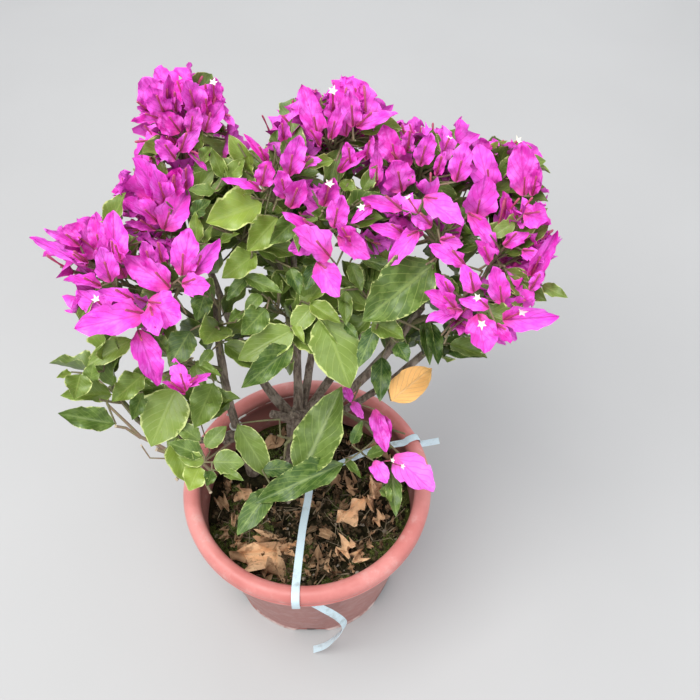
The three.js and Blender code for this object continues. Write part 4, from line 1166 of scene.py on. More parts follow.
def grow_spray(spray):
    """The stem of a spray, its twigs, and the finer twigs from those, each with bracts or leaves."""
    name, _, _, heart, bloom_count, leaf_count, green, pink, fullness = sprays[spray]
    heart, stem = Vector(heart), stems[spray]
    roll = dice(101 + 37 * spray)
    fine = dice(7001 + 53 * spray)
    twigs.append((stem, STEM_RADII, fine(0, 1)))
    pole = heart - CROWN_HEART
    pole.z = abs(pole.z) + 30
    pole.normalize()
    dress_twig(spray, stem[1], stem[3], (stem[3] - stem[1]).normalized(), green, round(9 * fullness), fine)
    count = bloom_count + math.ceil(leaf_count / LEAVES_PER_TWIG)
    for i in range(count):
        direction = spread_direction(pole, i, count, TWIG_SPREAD)
        place = (0.4 + 0.6 * (i + 0.5) / count) * STEM_STEPS
        k = min(math.floor(place), STEM_STEPS - 1)
        start = stem[k].lerp(stem[k + 1], place - k)
        end = heart + direction * (roll(*TWIG_REACH) * REACH)
        if not inside_own_space(spray, end, 0) or not clear_of_pot(end):
            continue
        if not clear_of_limbs(name, end, TWIG_CLEARANCE):
            continue
        path = add_twig(start, end, *TWIG_RADII, fine)
        blooming = i < bloom_count
        axis = (direction * 0.7 + UP * 0.6).normalized()
        if not (blooming and add_bloom(spray, end, axis, pink, fine)):
            dress_twig(spray, start, end, direction, green, 7, fine)
        for j in range(FINER_TWIGS):
            if fine(0, 1) > fullness:
                continue
            side = slanting_out(direction, 2.1 * j + fine(0, 1.2))
            way = (direction * fine(0.3, 0.9) + side).normalized()
            foot = path[1 + (j + 1) % 3]
            tip = foot + way * fine(14, 30)
            if not inside_own_space(spray, tip, TWIG_OVERLAP) or not clear_of_pot(tip):
                continue
            if not clear_of_limbs(name, tip, TWIG_CLEARANCE):
                continue
            add_twig(foot, tip, *FINER_RADII, fine)
            budding = blooming and (j < FINER_TWIGS - 1 or fine(0, 1) < 0.4)
            axis = (way * 0.7 + UP * 0.6).normalized()
            if not (budding and add_bloom(spray, tip, axis, pink, fine, fine(0.75, 1.0))):
                dress_twig(spray, foot, tip, way, green, 4, fine)


for spray in range(len(sprays)):
    grow_spray(spray)
bough_roll = dice(3301)
for bough in boughs:
    dress_bough(bough[0], bough_roll)

# Shoots and leaf stalks: thin round wood, swept along the grown paths, each a little thinner towards its
# tip. The way of sweeping stands here; the shoots themselves follow once every leaf and bract has one.
def sweeping_tree():
    """Turns each run of edges into a round shoot, as thick as its points say."""
    inputs = {"Paths": "Geometry", "Sides": "Int", "Thickness share": "Float", "Finish": "Material"}
    tree, entry = start_tree("sweeping", inputs)
    runs = add_node(tree, "GeometryNodeMeshToCurve", {"Mesh": entry["Paths"]})
    ring = add_node(tree, "GeometryNodeCurvePrimitiveCircle", {"Resolution": entry["Sides"], "Radius": 1})
    wires = {0: said_by_points(tree, "thick", "FLOAT"), 1: entry["Thickness share"]}
    scaled = add_node(tree, "ShaderNodeMath", wires, operation="MULTIPLY")
    wires = {"Curve": runs.outputs["Curve"], "Profile Curve": ring.outputs["Curve"], "Fill Caps": True}
    wires["Scale"] = scaled.outputs["Value"]
    swept = add_node(tree, "GeometryNodeCurveToMesh", wires)
    return end_tree(tree, swept.outputs["Mesh"], entry["Finish"])


sweeping = sweeping_tree()


def sweep_out(name, paths, finish, sides):
    """One joined piece from many paths: (spots, radii, shade)."""
    points, edges, thick, shade = [], [], [], []
    for path, radii, tint in paths:
        edges += [(len(points) + k, len(points) + k + 1) for k in range(len(path) - 1)]
        points += [tuple(spot * MM) for spot in path]
        thick += [radius * MM for radius in radii]
        shade += [tint] * len(path)
    mesh = bpy.data.meshes.new(name + "_paths")
    mesh.from_pydata(points, edges, [])
    piece = bpy.data.objects.new(name + "_paths", mesh)
    bpy.context.scene.collection.objects.link(piece)
    store(piece, "thick", thick)
    store(piece, "shade", shade)
    return run_tree(piece, sweeping, name, {"Sides": sides, "Thickness share": 1.0, "Finish": finish})


# The leaves: soft ovate blades, green with a ragged pale margin, each folded a little along its midrib,
# wavy at the edge and drawn out to a point. They stand singly along the twigs.
LEAF_OUTLINE = [(0, 0.03), (0.03, 0.15), (0.08, 0.44), (0.15, 0.72), (0.23, 0.89), (0.32, 0.98), (0.41, 1)]
LEAF_OUTLINE += [(0.5, 0.98), (0.59, 0.92), (0.68, 0.81), (0.76, 0.67), (0.83, 0.51), (0.89, 0.34)]
LEAF_OUTLINE += [(0.94, 0.18), (0.98, 0.06)]
LEAF_TONES = (0.045, 0.105, 0.018), (0.320, 0.430, 0.062)
SHADED_LEAF_TONE = (0.045, 0.100, 0.018)
MOTTLED_LEAF_TONE = (0.25, 0.36, 0.085)
LEAF_VEIN_TONE = (0.42, 0.53, 0.14)
MARGIN_TONE = (0.66, 0.74, 0.27)
# Side veins, their slant and how broad they are.
LEAF_VEINS = (7, 0.42, 0.12)
CARRIER_RADIUS = 0.9
SHOOT_RADII = (1.0, 0.7)


def map_blade(piece, spots):
    """Gives each point its place on the blade, across and along, as the piece's own map."""
    layer = piece.data.uv_layers.new(name="blade")
    for loop in piece.data.loops:
        layer.data[loop.index].uv = spots[loop.vertex_index]


def blade(name, outline, columns, fold, curl, wave, waves, twist, seed, crumple=0.01, ragged=0.06):
    """One blade, a unit long and up to a unit wide, with its root at the origin and its face up."""
    roll = dice(seed)
    points, faces, spots = [], [], []
    phase = roll(0, 6.28)
    height, pitch, reached = 0.0, -0.5 * curl * 0.3, 0.0
    before = 0.0
    for v, half in outline:
        step = v - before
        pitch -= curl * step
        reached += step * math.cos(pitch)
        height += step * math.sin(pitch)
        before = v
        lean = twist * v
        left, right = 1 + roll(-ragged, ragged), 1 + roll(-ragged, ragged)
        for j in range(columns + 1):
            s = 2 * j / columns - 1
            x = 0.5 * half * s * (left if s < 0 else right)
            ripple = math.sin(waves * 6.28 * v + phase + (1.3 if s > 0 else 0))
            rise = fold * abs(x) + wave * s * s * half * ripple
            rise += crumple * noise.noise(Vector((x * 9, v * 9, seed * 1.7))) * min(6 * v, 1)
            out, up = x * math.cos(lean) - rise * math.sin(lean), height + x * math.sin(lean) + rise
            points.append((out, reached, up))
            spots.append((0.5 + 0.5 * s, v))
    width = columns + 1
    for i in range(len(outline) - 1):
        for j in range(columns):
            a = i * width + j
            faces.append((a, a + 1, a + 1 + width, a + width))
    step = 1 - before
    points.append((0, reached + step * math.cos(pitch - 0.1), height + step * math.sin(pitch - 0.1)))
    spots.append((0.5, 1))
    row = (len(outline) - 1) * width
    faces += [(row + j, row + j + 1, len(points) - 1) for j in range(columns)]
    made = new_piece(name, points, faces, smooth_angle=180)
    map_blade(made, spots)
    return made


def leaf_kinds():
    """Folded and curled kinds first, then a few that lie open, for the leaves that show most."""
    roll = dice(401)
    made = []
    for i in range(LEAF_KINDS):
        bent = roll(0.1, 0.6), roll(-0.2, 1.2), roll(0.05, 0.13), roll(1.4, 2.8), roll(-0.5, 0.5)
        made.append(blade(f"leaf_{i}", LEAF_OUTLINE, 6, *bent, 31 + i, 0.03))
    for i in range(OPEN_LEAF_KINDS):
        bent = 0.16 + 0.1 * i, 0.5 - 0.35 * i, 0.06 + 0.03 * i, 2.3, 0.15 * i
        made.append(blade(f"leaf_open_{i}", LEAF_OUTLINE, 8, *bent, 71 + i, 0.03, 0.08))
    return made


def blade_coordinates(paint):
    """Across the blade (0 at the midrib, 1 at the edge) and along it."""
    spot = paint.add("ShaderNodeUVMap", "UV", {}, uv_map="blade")
    off_midrib = paint.sum_up("ABSOLUTE", paint.sum_up("SUBTRACT", paint.split(spot, "X"), 0.5))
    return paint.times(off_midrib, 2), paint.split(spot, "Y")


def vein_pattern(paint, across, along, count, slant, width):
    """Thin slanting side veins and the midrib, 1 on a vein."""
    slanted = paint.sum_up("SUBTRACT", along, paint.times(across, slant))
    turns = paint.sum_up("SINE", paint.times(slanted, count * 6.28))
    return paint.sum_up("MAXIMUM", paint.fade(turns, 1 - width, 1), paint.fade(across, 0.09, 0.02))


paint = Finish("variegated_leaf", 0.40)
across, along = blade_coordinates(paint)
tone, shade = paint.stored("tone"), paint.stored("shade")
mottle, ragged = paint.noise(110, 4), paint.noise(240, 3)
veins = vein_pattern(paint, across, along, *LEAF_VEINS)
green = paint.mix(tone, *LEAF_TONES)
green = paint.mix(paint.times(shade, 0.45), green, SHADED_LEAF_TONE)
green = paint.mix(paint.fade(mottle, 0.45, 0.62, 0, 0.4), green, MOTTLED_LEAF_TONE)
green = paint.mix(paint.times(veins, 0.28), green, LEAF_VEIN_TONE)
edge = paint.plus(paint.plus(across, paint.times(ragged, 0.5)), paint.times(tone, 0.1))
paint.lay_on(paint.mix(paint.fade(edge, 1.2, 1.3, 0, 0.85), green, MARGIN_TONE))
paint.bump(paint.plus(veins, mottle), 0.35, 0.0006)


def nearest_twig_point(spot):
    """The nearest point of any twig or limb that is thick enough to carry a leaf."""
    found = []
    for _, a, b, _ in stretches:
        run = b - a
        found.append(a + run * min(max((spot - a).dot(run) / run.length_squared, 0), 1))
    for path, radii, _ in twigs:
        if radii[0] >= CARRIER_RADIUS:
            found += path
    return min(found, key=lambda point: (point - spot).length)


def carry(root, reach):
    """A shoot from the nearest twig to the root of a blade that would float without it."""
    carrier = nearest_twig_point(root)
    if (carrier - root).length > reach:
        add_twig(carrier, root, *SHOOT_RADII, shown_roll)


shown_roll = dice(977)
for is_bract, name, root, tip, width, tone in shown:
    if is_bract:
        continue
    face = (CAMERA_SPOT - root).normalized() * shown_roll(0.5, 0.75) + UP * shown_roll(0.1, 0.45)
    carry(root, 4)
    kind = LEAF_KINDS + int(shown_roll(0, OPEN_LEAF_KINDS))
    run = tip - root
    spray = spray_names.index(name)
    add_leaf(spray, root, run.normalized(), face, run.length - 1, width, tone, shown_roll, 1.0, kind)

# The yellowed leaf that still hangs under the crown: the pixels of its root and tip, and its lead.
HANGING_LEAF = ((391, 401), (435, 363), 10)
under_crown = Vector(sprays[spray_names.index("right_low_leaves")][3])
hanging_root, hanging_tip = (seen_at(under_crown, x, y, HANGING_LEAF[2]) for x, y in HANGING_LEAF[:2])
add_twig(nearest_twig_point(hanging_root), hanging_root, CARRIER_RADIUS, SHOOT_RADII[1], shown_roll)

# The wood low on the left, cut back hard: where the bough stands, then the pixels along each piece and its
# radius at the start and at the end.
CUT_WOOD_SPOT = Vector((-118, 8, 215))
CUT_WOOD = [
    ([(205, 462), (179, 457), (158, 445), (141, 437), (129, 425), (107, 404)], 2.5, 1.5),
    ([(141, 438), (126, 428), (115, 426)], 1.6, 1.4),
    ([(180, 459), (150, 458), (141, 445)], 0.9, 0.8),
    ([(177, 456), (165, 452), (156, 449)], 2.1, 2.0),
    ([(201, 464), (187, 469), (176, 480)], 1.9, 1.7),
    ([(201, 462), (207, 467), (213, 472)], 1.9, 1.9),
    ([(203, 478), (207, 485), (211, 493)], 1.5, 1.5),
    ([(201, 464), (203, 478)], 1.4, 1.2),
    ([(205, 460), (210, 452), (199, 418), (186, 392)], 0.9, 0.7),
    ([(205, 461), (230, 443)], 1.2, 1.5),
    ([(107, 404), (110, 390), (97, 379)], 1.2, 1.1),
]
for pixels, thick, thin in CUT_WOOD:
    path = [seen_at(CUT_WOOD_SPOT, x, y, 0) for x, y in pixels]
    twigs.append((path, tapered(thick, thin, len(path) - 1), 1))

leaf_piece = plant_out("crown_leaves", leaves, leaf_kinds(), paint.material)
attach(leaf_piece, "root")

# The bracts: papery magenta blades in threes, broad and pointed, with fine darker veins; those of the low
# spray on the right have faded to mauve. They make the colour of the crown.
BRACT_OUTLINE = [(0, 0.08), (0.03, 0.22), (0.08, 0.46), (0.15, 0.7), (0.24, 0.88), (0.34, 0.98), (0.45, 1)]
BRACT_OUTLINE += [(0.55, 0.98), (0.65, 0.92), (0.74, 0.82), (0.82, 0.69), (0.89, 0.53)]
BRACT_OUTLINE += [(0.94, 0.37), (0.98, 0.19)]
BRACT_TONES = (0.70, 0.022, 0.44), (1.0, 0.125, 0.86)
FADED_BRACT_TONE = (0.93, 0.19, 0.84)
MOTTLED_BRACT_TONE = (1.0, 0.24, 0.97)
BRACT_VEIN_TONE = (0.58, 0.012, 0.36)
# Towards its root a bract turns redder and darker: partly its own colour, partly painted shade where the
# bracts crowd at the heart of a bloom.
BRACT_ROOT_AND_SHADE_TONE = (0.72, 0.06, 0.26)
BRACT_VEINS = (5, 0.55, 0.16)


def bract_kinds():
    roll = dice(601)
    made = []
    for i in range(BRACT_KINDS):
        bent = roll(0.1, 0.7), roll(-0.7, 0.8), roll(0.1, 0.22), roll(1.6, 3.2), roll(-0.5, 0.5)
        made.append(blade(f"bract_{i}", BRACT_OUTLINE, 6, *bent, 81 + i, 0.1, 0.13))
    return made


paint = Finish("magenta_bract", 0.58)
across, along = blade_coordinates(paint)
mottle = paint.noise(90, 4)
veins = vein_pattern(paint, across, along, *BRACT_VEINS)
pink = paint.mix(paint.stored("shade"), *BRACT_TONES)
pink = paint.mix(paint.fade(paint.stored("tone"), 0.35, 0.8), pink, FADED_BRACT_TONE)
pink = paint.mix(paint.fade(mottle, 0.42, 0.62, 0, 0.55), pink, MOTTLED_BRACT_TONE)
pink = paint.mix(paint.times(veins, 0.42), pink, BRACT_VEIN_TONE)
# Redder, darker root: the bract's own colour together with painted shade at the heart of a bloom.
paint.lay_on(paint.mix(paint.fade(along, 0.34, 0.0, 0, 0.7), pink, BRACT_ROOT_AND_SHADE_TONE))
paint.bump(paint.plus(veins, mottle), 0.4, 0.0006)

# The bracts that stand out, each on its shoot and, but for the faded ones, with its tube before it.
for is_bract, name, root, tip, width, tone in shown:
    if not is_bract:
        continue
    to_camera = (CAMERA_SPOT - root).normalized()
    along = (tip - root).normalized()
    carry(root, 3)
    long = (tip - root).length * MM
    turn = facing(along, to_camera * shown_roll(0.6, 0.9) + UP * shown_roll(0, 0.4))
    size = (long * width, long, long)
    bracts.append((root * MM, turn, size, int(shown_roll(0, BRACT_KINDS)), shown_roll(0, 1), tone))
    if name != "faded_bloom":
        tube_way = (along * 0.6 + to_camera * 0.45 + UP * 0.35).normalized()
        tall = shown_roll(20, 26) * MM
        foot, turn = (root + tube_way) * MM, facing(tube_way, to_camera)
        flowers.append((foot, turn, (tall, tall, tall), 0, shown_roll(0, 1), tone))

bract_piece = plant_out("crown_bracts", bracts, bract_kinds(), paint.material)
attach(bract_piece, "root")

# The flowers: a slim dull-pink tube before nearly every bract, pinched in the middle; a few have opened
# into a small cream-white star.
TUBE_PROFILE = [(0, 0.02), (0.1, 0.036), (0.35, 0.044), (0.55, 0.027), (0.8, 0.04), (0.95, 0.044), (1, 0.024)]
TUBE_SIDES = 5
TUBE_BENDS = (0.06, -0.08, 0.05)
TUBE_TONES = (0.28, 0.022, 0.075), (0.50, 0.085, 0.17)
# Painted highlights: fine pale specks over the tubes.
TUBE_HIGHLIGHT_TONE = (0.62, 0.25, 0.27)
STAR_TONE = (0.86, 0.84, 0.70)
STAR_POINTS = 5
STAR_CORNERS = 2 * STAR_POINTS
# The pixels where a star shows in the photograph, and how a flower's distance weighs against its pixels.
OPEN_STARS = [(330, 90), (198, 68), (318, 183), (356, 202), (429, 216), (448, 164), (529, 138), (492, 304)]
OPEN_STARS += [(512, 326), (468, 321), (97, 308), (124, 280)]
DISTANCE_WEIGHT = 0.2
FADED_STAR_LEADS = (31, 45)


def tube_kind(name, bend, star):
    """A slender tube, a unit long, that lies along y; its end opens into a star or stays shut."""
    points, faces, spots = [], [], []
    for v, radius in TUBE_PROFILE:
        for turn in turns_round(TUBE_SIDES):
            points.append((radius * math.cos(turn), v, radius * math.sin(turn) + bend * v * v))
            spots.append((0, v))
    for i in range(len(TUBE_PROFILE) - 1):
        for k in range(TUBE_SIDES):
            a, b = i * TUBE_SIDES + k, i * TUBE_SIDES + (k + 1) % TUBE_SIDES
            faces.append((b, a, a + TUBE_SIDES, b + TUBE_SIDES))
    faces.append(tuple(range(len(points) - TUBE_SIDES, len(points))))
    if star:
        centre = len(points)
        points.append((0, 1.0, bend))
        for k in range(STAR_CORNERS):
            turn = math.pi * k / STAR_POINTS
            radius, lift = (0.15 + 0.02 * (k % 3), 1.05) if k % 2 == 0 else (0.08, 1.0)
            points.append((radius * math.cos(turn), lift, radius * math.sin(turn) + bend))
            faces.append((centre, centre + 1 + (k + 1) % STAR_CORNERS, centre + 1 + k))
        spots += [(1, 1)] * (1 + STAR_CORNERS)
    made = new_piece(name, points, faces, smooth_angle=70)
    map_blade(made, spots)
    return made


def off_star(flower, star_x, star_y):
    x, y, away = in_frame(flower[0] / MM)
    return math.hypot(x - star_x, y - star_y) + DISTANCE_WEIGHT * away


paint = Finish("flower_tube", 0.6)
spot = paint.add("ShaderNodeUVMap", "UV", {}, uv_map="blade")
# Fine noise that places the painted highlights on the tubes and also gives them their bumps.
down = paint.noise(900, 2, 0.5)
tube_colour = paint.mix(paint.split(spot, "Y"), *TUBE_TONES)
tube_colour = paint.mix(paint.fade(down, 0.4, 0.7, 0, 0.3), tube_colour, TUBE_HIGHLIGHT_TONE)
paint.lay_on(paint.mix(paint.fade(paint.split(spot, "X"), 0.4, 0.6), tube_colour, STAR_TONE))
paint.bump(down, 0.3, 0.0003)
for star_x, star_y in OPEN_STARS:
    best = min(range(len(flowers)), key=lambda i: off_star(flowers[i], star_x, star_y))
    spot, turn, size, _, shade, tone = flowers[best]
    flowers[best] = (spot, turn, size, STAR_KIND, shade, tone)
faded_heart = Vector(sprays[spray_names.index("faded_bloom")][3])
for pixels in FADED_STARS:
    foot, star = (seen_at(faded_heart, x, y, lead) for (x, y), lead in zip(pixels, FADED_STAR_LEADS))
    tall = (star - foot).length * MM
    turn = facing((star - foot).normalized(), UP)
    flowers.append((foot * MM, turn, (tall, tall, tall), STAR_KIND, 0.5, 0.2))
tube_kinds = [tube_kind(f"tube_{i}", bend, i == STAR_KIND) for i, bend in enumerate(TUBE_BENDS)]
flower_piece = plant_out("star_flowers", flowers, tube_kinds, paint.material)
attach(flower_piece, "root")

# The shoots: young wood between the boughs and the blades, green-brown to brown. They are swept last,
# once every leaf and bract has its stalk, and stand in for the sprays of the source.
SHOOT_TONES = (0.11, 0.115, 0.045), (0.27, 0.185, 0.125)
GREEN_SHOOT_TONE = (0.22, 0.24, 0.10)
SHOOT_SIDES = 6
paint = Finish("young_shoots", 0.7)
rough = paint.noise(260, 4)
shoot_colour = paint.mix(paint.stored("shade"), *SHOOT_TONES)
paint.lay_on(paint.mix(paint.fade(rough, 0.4, 0.65, 0, 0.6), shoot_colour, GREEN_SHOOT_TONE))
paint.bump(rough, 0.5, 0.0005)
shoots = sweep_out("crown_twigs", twigs, paint.material, SHOOT_SIDES)
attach(shoots, "root")
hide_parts(*spray_names)

# The cut ends of the wood low on the left, by their numbers in its list: pale discs of bare wood, a
# little proud of the bark.
CUT_ENDS = [1, 2, 3, 4, 5, 6, 10]
CUT_TONES = (0.52, 0.40, 0.26), (0.78, 0.66, 0.48)
CUT_STEPS = (-1.5, -0.4, 0.3)
CUT_SIDES = 8
paint = Finish("cut_wood", 0.8, 0.2)
paint.lay_on(paint.mix(paint.noise(500, 3), *CUT_TONES))
discs = []
for number in CUT_ENDS:
    pixels, _, thin = CUT_WOOD[number]
    before, end = (seen_at(CUT_WOOD_SPOT, x, y, 0) for x, y in pixels[-2:])
    heading = (end - before).normalized()
    discs.append(([end + heading * step for step in CUT_STEPS], [1.04 * thin] * len(CUT_STEPS), 0.5))
cut_ends = sweep_out("cut_wood_ends", discs, paint.material, CUT_SIDES)
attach(cut_ends, "root")

# The white tie: a short length of soft plastic wire round the left stem, twisted once, with two loose
# ends. It sits at the row of pixels where the photograph shows it.
TIE_ROW = 428
TIE_RADIUS = 1.0
TIE_SIDES = 8
TIE_TURNS = 21
TIE_RISE = 0.12
TIE_TONES = (0.82, 0.82, 0.78), (0.60, 0.60, 0.54)
tie_centres, tie_radii = limbs["left_stem"]
nearest = min(range(1, len(tie_centres) - 1), key=lambda i: abs(in_frame(tie_centres[i])[1] - TIE_ROW))
tie_spot, tie_reach = tie_centres[nearest], tie_radii[nearest] + 1.2 * TIE_RADIUS
tie_axis = (tie_centres[nearest + 1] - tie_centres[nearest - 1]).normalized()
tie_side = tie_axis.cross(Vector((0, -1, 0))).normalized()
tie_front = tie_side.cross(tie_axis).normalized()
loop = []
for k in range(TIE_TURNS):
    turn = math.radians(-90 + 18 * k)
    out = tie_side * math.cos(turn) + tie_front * math.sin(turn)
    loop.append(tie_spot + out * tie_reach + tie_axis * (TIE_RISE * k))
runs = [loop]
for way in (tie_side * 0.9 + tie_axis * 0.5, tie_side * -0.8 + tie_axis * 0.7):
    runs.append([loop[0], loop[0] - tie_front * 3 + way * 5, loop[0] - tie_front * 4 + way * 11])
paint = Finish("white_tie", 0.5)
grime = paint.noise(300, 3)
paint.lay_on(paint.mix(grime, *TIE_TONES))
paint.bump(grime, 0.3, 0.0003)
runs = [(run, [TIE_RADIUS] * len(run), 0.5) for run in runs]
tie = sweep_out("stem_tie", runs, paint.material, TIE_SIDES)
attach(tie, "root")

# Dead leaves: fallen from the crown and dried, tan to rusty, curled up on the soil inside the pot, with
# scraps of older ones between them. The yellowed leaf that still hangs under the crown is one of them.
# Those that show, by the pixels of root and tip, the width as a share of the length, shade and lift.
SEEN_LITTER = [
    (241, 554, 294, 564, 0.42, 0.95, 2.2),
    (261, 572, 293, 574, 0.6, 0.7, 1.4),
    (261, 548, 278, 531, 0.5, 0.8, 5.0),
    (230, 560, 246, 545, 0.6, 0.55, 2.4),
    (286, 556, 292, 543, 0.5, 0.9, 5.0),
    (336, 522, 364, 504, 0.44, 1.0, 3.2),
    (365, 499, 393, 520, 0.36, 1.0, 3.6),
    (372, 520, 388, 524, 0.6, 0.8, 2.6),
    (335, 552, 362, 556, 0.42, 0.9, 3.2),
    (362, 550, 345, 567, 0.4, 0.95, 2.8),
    (314, 553, 326, 574, 0.5, 0.5, 2.8),
    (331, 481, 352, 491, 0.6, 0.42, 1.6),
    (369, 494, 386, 489, 0.6, 0.4, 1.8),
    (217, 497, 228, 510, 0.5, 0.42, 2.2),
    (223, 528, 236, 537, 0.6, 0.45, 2.2),
    (225, 482, 243, 491, 0.5, 0.4, 1.8),
    (300, 500, 316, 508, 0.5, 0.5, 2.8),
    (320, 530, 334, 540, 0.5, 0.55, 3.2),
]
# Those out of sight: spot on the soil, heading in degrees, length, width as a share of it, and lift.
HIDDEN_LITTER = [(-60, 8, 160, 32, 0.5, 1.8), (12, 82, 10, 30, 0.5, 1.8), (40, 20, 30, 32, 0.5, 1.9)]
HIDDEN_LITTER += [(70, 4, 80, 30, 0.46, 2.2), (-30, 80, 210, 32, 0.5, 2.2), (62, 66, -40, 34, 0.46, 2.0)]
DEAD_LEAF_KINDS = 6
LITTER_SCRAPS = 400
SCRAP_LENGTHS = (4, 15)
SCRAP_WIDTHS = (0.22, 0.6)
DEAD_TONES = (0.060, 0.044, 0.024), (0.96, 0.62, 0.36)
YELLOWED_TONE = (0.98, 0.56, 0.20)
BLOTCH_TONE = (0.22, 0.10, 0.045)
DEAD_VEIN_TONE = (0.74, 0.52, 0.30)
DEAD_VEINS = (7, 0.42, 0.14)
HANGING_WIDTH = 0.56
LITTER_EDGE = SOIL_EDGE - 12

paint = Finish("dead_leaf", 0.8, 0.2)
across, along = blade_coordinates(paint)
blotch, yellowed = paint.noise(150, 5, 0.65), paint.stored("tone")
veins = vein_pattern(paint, across, along, *DEAD_VEINS)
dead_colour = paint.mix(yellowed, paint.mix(paint.stored("shade"), *DEAD_TONES), YELLOWED_TONE)
blotch_share = paint.sum_up("SUBTRACT", paint.fade(blotch, 0.5, 0.66, 0, 0.6), yellowed)
dead_colour = paint.mix(blotch_share, dead_colour, BLOTCH_TONE)
paint.lay_on(paint.mix(paint.times(veins, 0.35), dead_colour, DEAD_VEIN_TONE))
paint.bump(paint.plus(veins, blotch), 0.6, 0.0008)


def litter_spot(x, y, turn, length, width, lift, kind, shade, roll):
    way = Vector((math.cos(math.radians(turn)), math.sin(math.radians(turn)), 0.12 * lift)).normalized()
    face = UP + Vector((roll(-0.9, 0.9), roll(-0.9, 0.9), 0))
    spot = Vector((x, y, fine_soil_height(x, y) + 1.5 + 0.09 * width * length)) * MM
    return spot, facing(way, face), (width * length * MM, length * MM, length * MM), kind, shade, 0


def on_soil(x, y):
    """The spot on the soil that is seen at a pixel."""
    above = seen_at(CAMERA_SPOT, x, y, 0)
    way = seen_at(CAMERA_SPOT, x, y, -1) - above
    return above + way * ((SOIL_TOP + 4 - above.z) / way.z)


dead_roll = dice(313)
litter = []
for x, y, tip_x, tip_y, width, shade, lift in SEEN_LITTER:
    root = on_soil(x, y)
    run = on_soil(tip_x, tip_y) - root
    turn, kind = math.degrees(math.atan2(run.y, run.x)), int(dead_roll(0, DEAD_LEAF_KINDS - 1))
    litter.append(litter_spot(root.x, root.y, turn, 1.15 * run.length, width, lift, kind, shade, dead_roll))
for x, y, turn, length, width, lift in HIDDEN_LITTER:
    kind = int(dead_roll(0, DEAD_LEAF_KINDS))
    litter.append(litter_spot(x, y, turn, length, width, lift, kind, dead_roll(0.6, 1), dead_roll))
for _ in range(LITTER_SCRAPS):
    x, y = spot_within(LITTER_EDGE, dead_roll)
    length, width = dead_roll(*SCRAP_LENGTHS), dead_roll(*SCRAP_WIDTHS)
    kind = int(dead_roll(0, DEAD_LEAF_KINDS))
    turn, shade = dead_roll(0, 360), dead_roll(0, 1) ** 2.6 * 0.9
    if from_stems(x, y) > 22:
        litter.append(litter_spot(x, y, turn, length, width, dead_roll(0, 6), kind, shade, dead_roll))
run = hanging_tip - hanging_root
turn = facing(run.normalized(), (CAMERA_SPOT - hanging_root).normalized() + UP * 0.3)
long = run.length * MM
litter.append((hanging_root * MM, turn, (HANGING_WIDTH * long, long, long), DEAD_LEAF_KINDS - 1, 0.9, 1))
dead_kinds = []
for i in range(DEAD_LEAF_KINDS - 1):
    bent = 1.2 - 0.25 * i, 1.7 - 0.8 * i, 0.42, 1.5 + 0.3 * i, 1.0 - 0.5 * i
    dead_kinds.append(blade(f"dead_{i}", LEAF_OUTLINE, 8, *bent, 51 + i, 0.1, 0.08))
dead_kinds.append(blade("dead_open", LEAF_OUTLINE, 6, 0.3, 0.5, 0.08, 1.4, 0.1, 58, 0.05))
dead_leaves = plant_out("dead_leaves", litter, dead_kinds, paint.material)
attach(dead_leaves, "root")

# Dry twigs: thin grey-brown sticks that broke off the crown and lie on the soil, slightly bowed, all
# through the litter.
DRY_TWIGS = 240
DRY_LENGTHS = (8, 34)
DRY_RADII = (0.3, 0.8)
DRY_TAPER = (1, 1, 0.9, 0.8, 0.6)
DRY_SIDES = 5
DRY_TONES = (0.07, 0.052, 0.030), (0.60, 0.50, 0.33)
DRY_BARK_TONE = (0.15, 0.11, 0.075)
paint = Finish("dry_twigs", 0.85, 0.2)
rough = paint.noise(300, 3)
paint.lay_on(paint.mix(rough, paint.mix(paint.stored("shade"), *DRY_TONES), DRY_BARK_TONE))
paint.bump(rough, 0.5, 0.0005)
sticks = []
for _ in range(DRY_TWIGS):
    middle = Vector((*spot_within(LITTER_EDGE, dead_roll), 0))
    turn, length, thick = dead_roll(0, 2 * math.pi), dead_roll(*DRY_LENGTHS), dead_roll(*DRY_RADII)
    half = Vector((math.cos(turn), math.sin(turn), 0)) * (length / 2)
    bow = Vector((-half.y, half.x, 0)) * dead_roll(-0.4, 0.4)
    path = [middle - half, middle + bow, middle + half]
    past_edge = max(math.hypot(p.x, p.y) for p in path) > LITTER_EDGE + 6
    if past_edge or min(from_stems(p.x, p.y) for p in path) < STEM_ROOM:
        continue
    path = [Vector((p.x, p.y, fine_soil_height(p.x, p.y) + 1.2)) for p in path]
    radii = [thick * share for share in DRY_TAPER]
    sticks.append((curve(*path, len(DRY_TAPER) - 1), radii, dead_roll(0, 1)))
dry_twigs = sweep_out("dry_twigs", sticks, paint.material, DRY_SIDES)
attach(dry_twigs, "root")

# The studio: a plain pale floor, soft daylight from above and to the left, and the camera where the
# photographer stood, looking steeply down over the front of the pot.
SENSOR = 36
FLOOR_HALF = 6
FLOOR_TONES = (0.46, 0.46, 0.455), (0.51, 0.51, 0.505)
AIR_TONE = (0.93, 0.95, 1.0, 1)
AIR_STRENGTH = 0.78
LIGHT_SIZE = 1.6
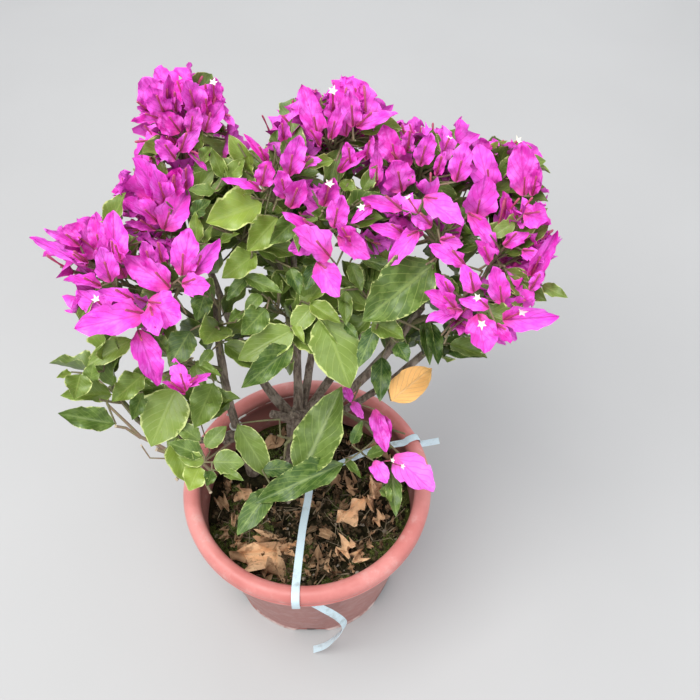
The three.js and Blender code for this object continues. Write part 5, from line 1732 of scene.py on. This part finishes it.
# Name, spot, target, power, colour.
LIGHTS = [
    ("sky_light", (-0.7, -0.5, 2.2), (0, 0.05, 0.3), 46, (1.0, 0.99, 0.97)),
    ("fill_light", (1.6, -1.4, 1.4), (0, 0, 0.3), 13, (0.96, 0.98, 1.0)),
    ("back_light", (0.4, 1.9, 1.3), (0, 0, 0.35), 9, (0.97, 0.99, 1.0)),
]

paint = Finish("pale_floor", 0.9)
paint.lay_on(paint.mix(paint.noise(3, 3, 0.5), *FLOOR_TONES))
floor_mesh = bpy.data.meshes.new("studio_floor")
floor_corners = [(-FLOOR_HALF, -FLOOR_HALF, 0), (FLOOR_HALF, -FLOOR_HALF, 0)]
floor_corners += [(FLOOR_HALF, FLOOR_HALF, 0), (-FLOOR_HALF, FLOOR_HALF, 0)]
floor_mesh.from_pydata(floor_corners, [], [(0, 1, 2, 3)])
floor_mesh.materials.append(paint.material)
floor = bpy.data.objects.new("studio_floor", floor_mesh)
bpy.context.scene.collection.objects.link(floor)

for name, spot, target, power, colour in LIGHTS:
    light = bpy.data.lights.new(name, "AREA")
    light.size = LIGHT_SIZE
    light.energy = power
    light.color = colour
    lamp = bpy.data.objects.new(name, light)
    lamp.location = spot
    lamp.rotation_euler = (Vector(target) - Vector(spot)).to_track_quat("-Z", "Y").to_euler()
    bpy.context.scene.collection.objects.link(lamp)

air = bpy.data.worlds.new("studio_air")
air.use_nodes = True
air.node_tree.nodes["Background"].inputs["Color"].default_value = AIR_TONE
air.node_tree.nodes["Background"].inputs["Strength"].default_value = AIR_STRENGTH
bpy.context.scene.world = air
bpy.context.scene.view_settings.view_transform = "Standard"

lens = bpy.data.cameras.new("photo_camera")
lens.sensor_width = SENSOR
lens.lens = FOCAL_PIXELS / FRAME_PIXELS * SENSOR
camera = bpy.data.objects.new("photo_camera", lens)
camera.location = CAMERA_SPOT * MM
camera.rotation_euler = (math.radians(CAMERA_TILT), 0, 0)
bpy.context.scene.collection.objects.link(camera)
bpy.context.scene.camera = camera
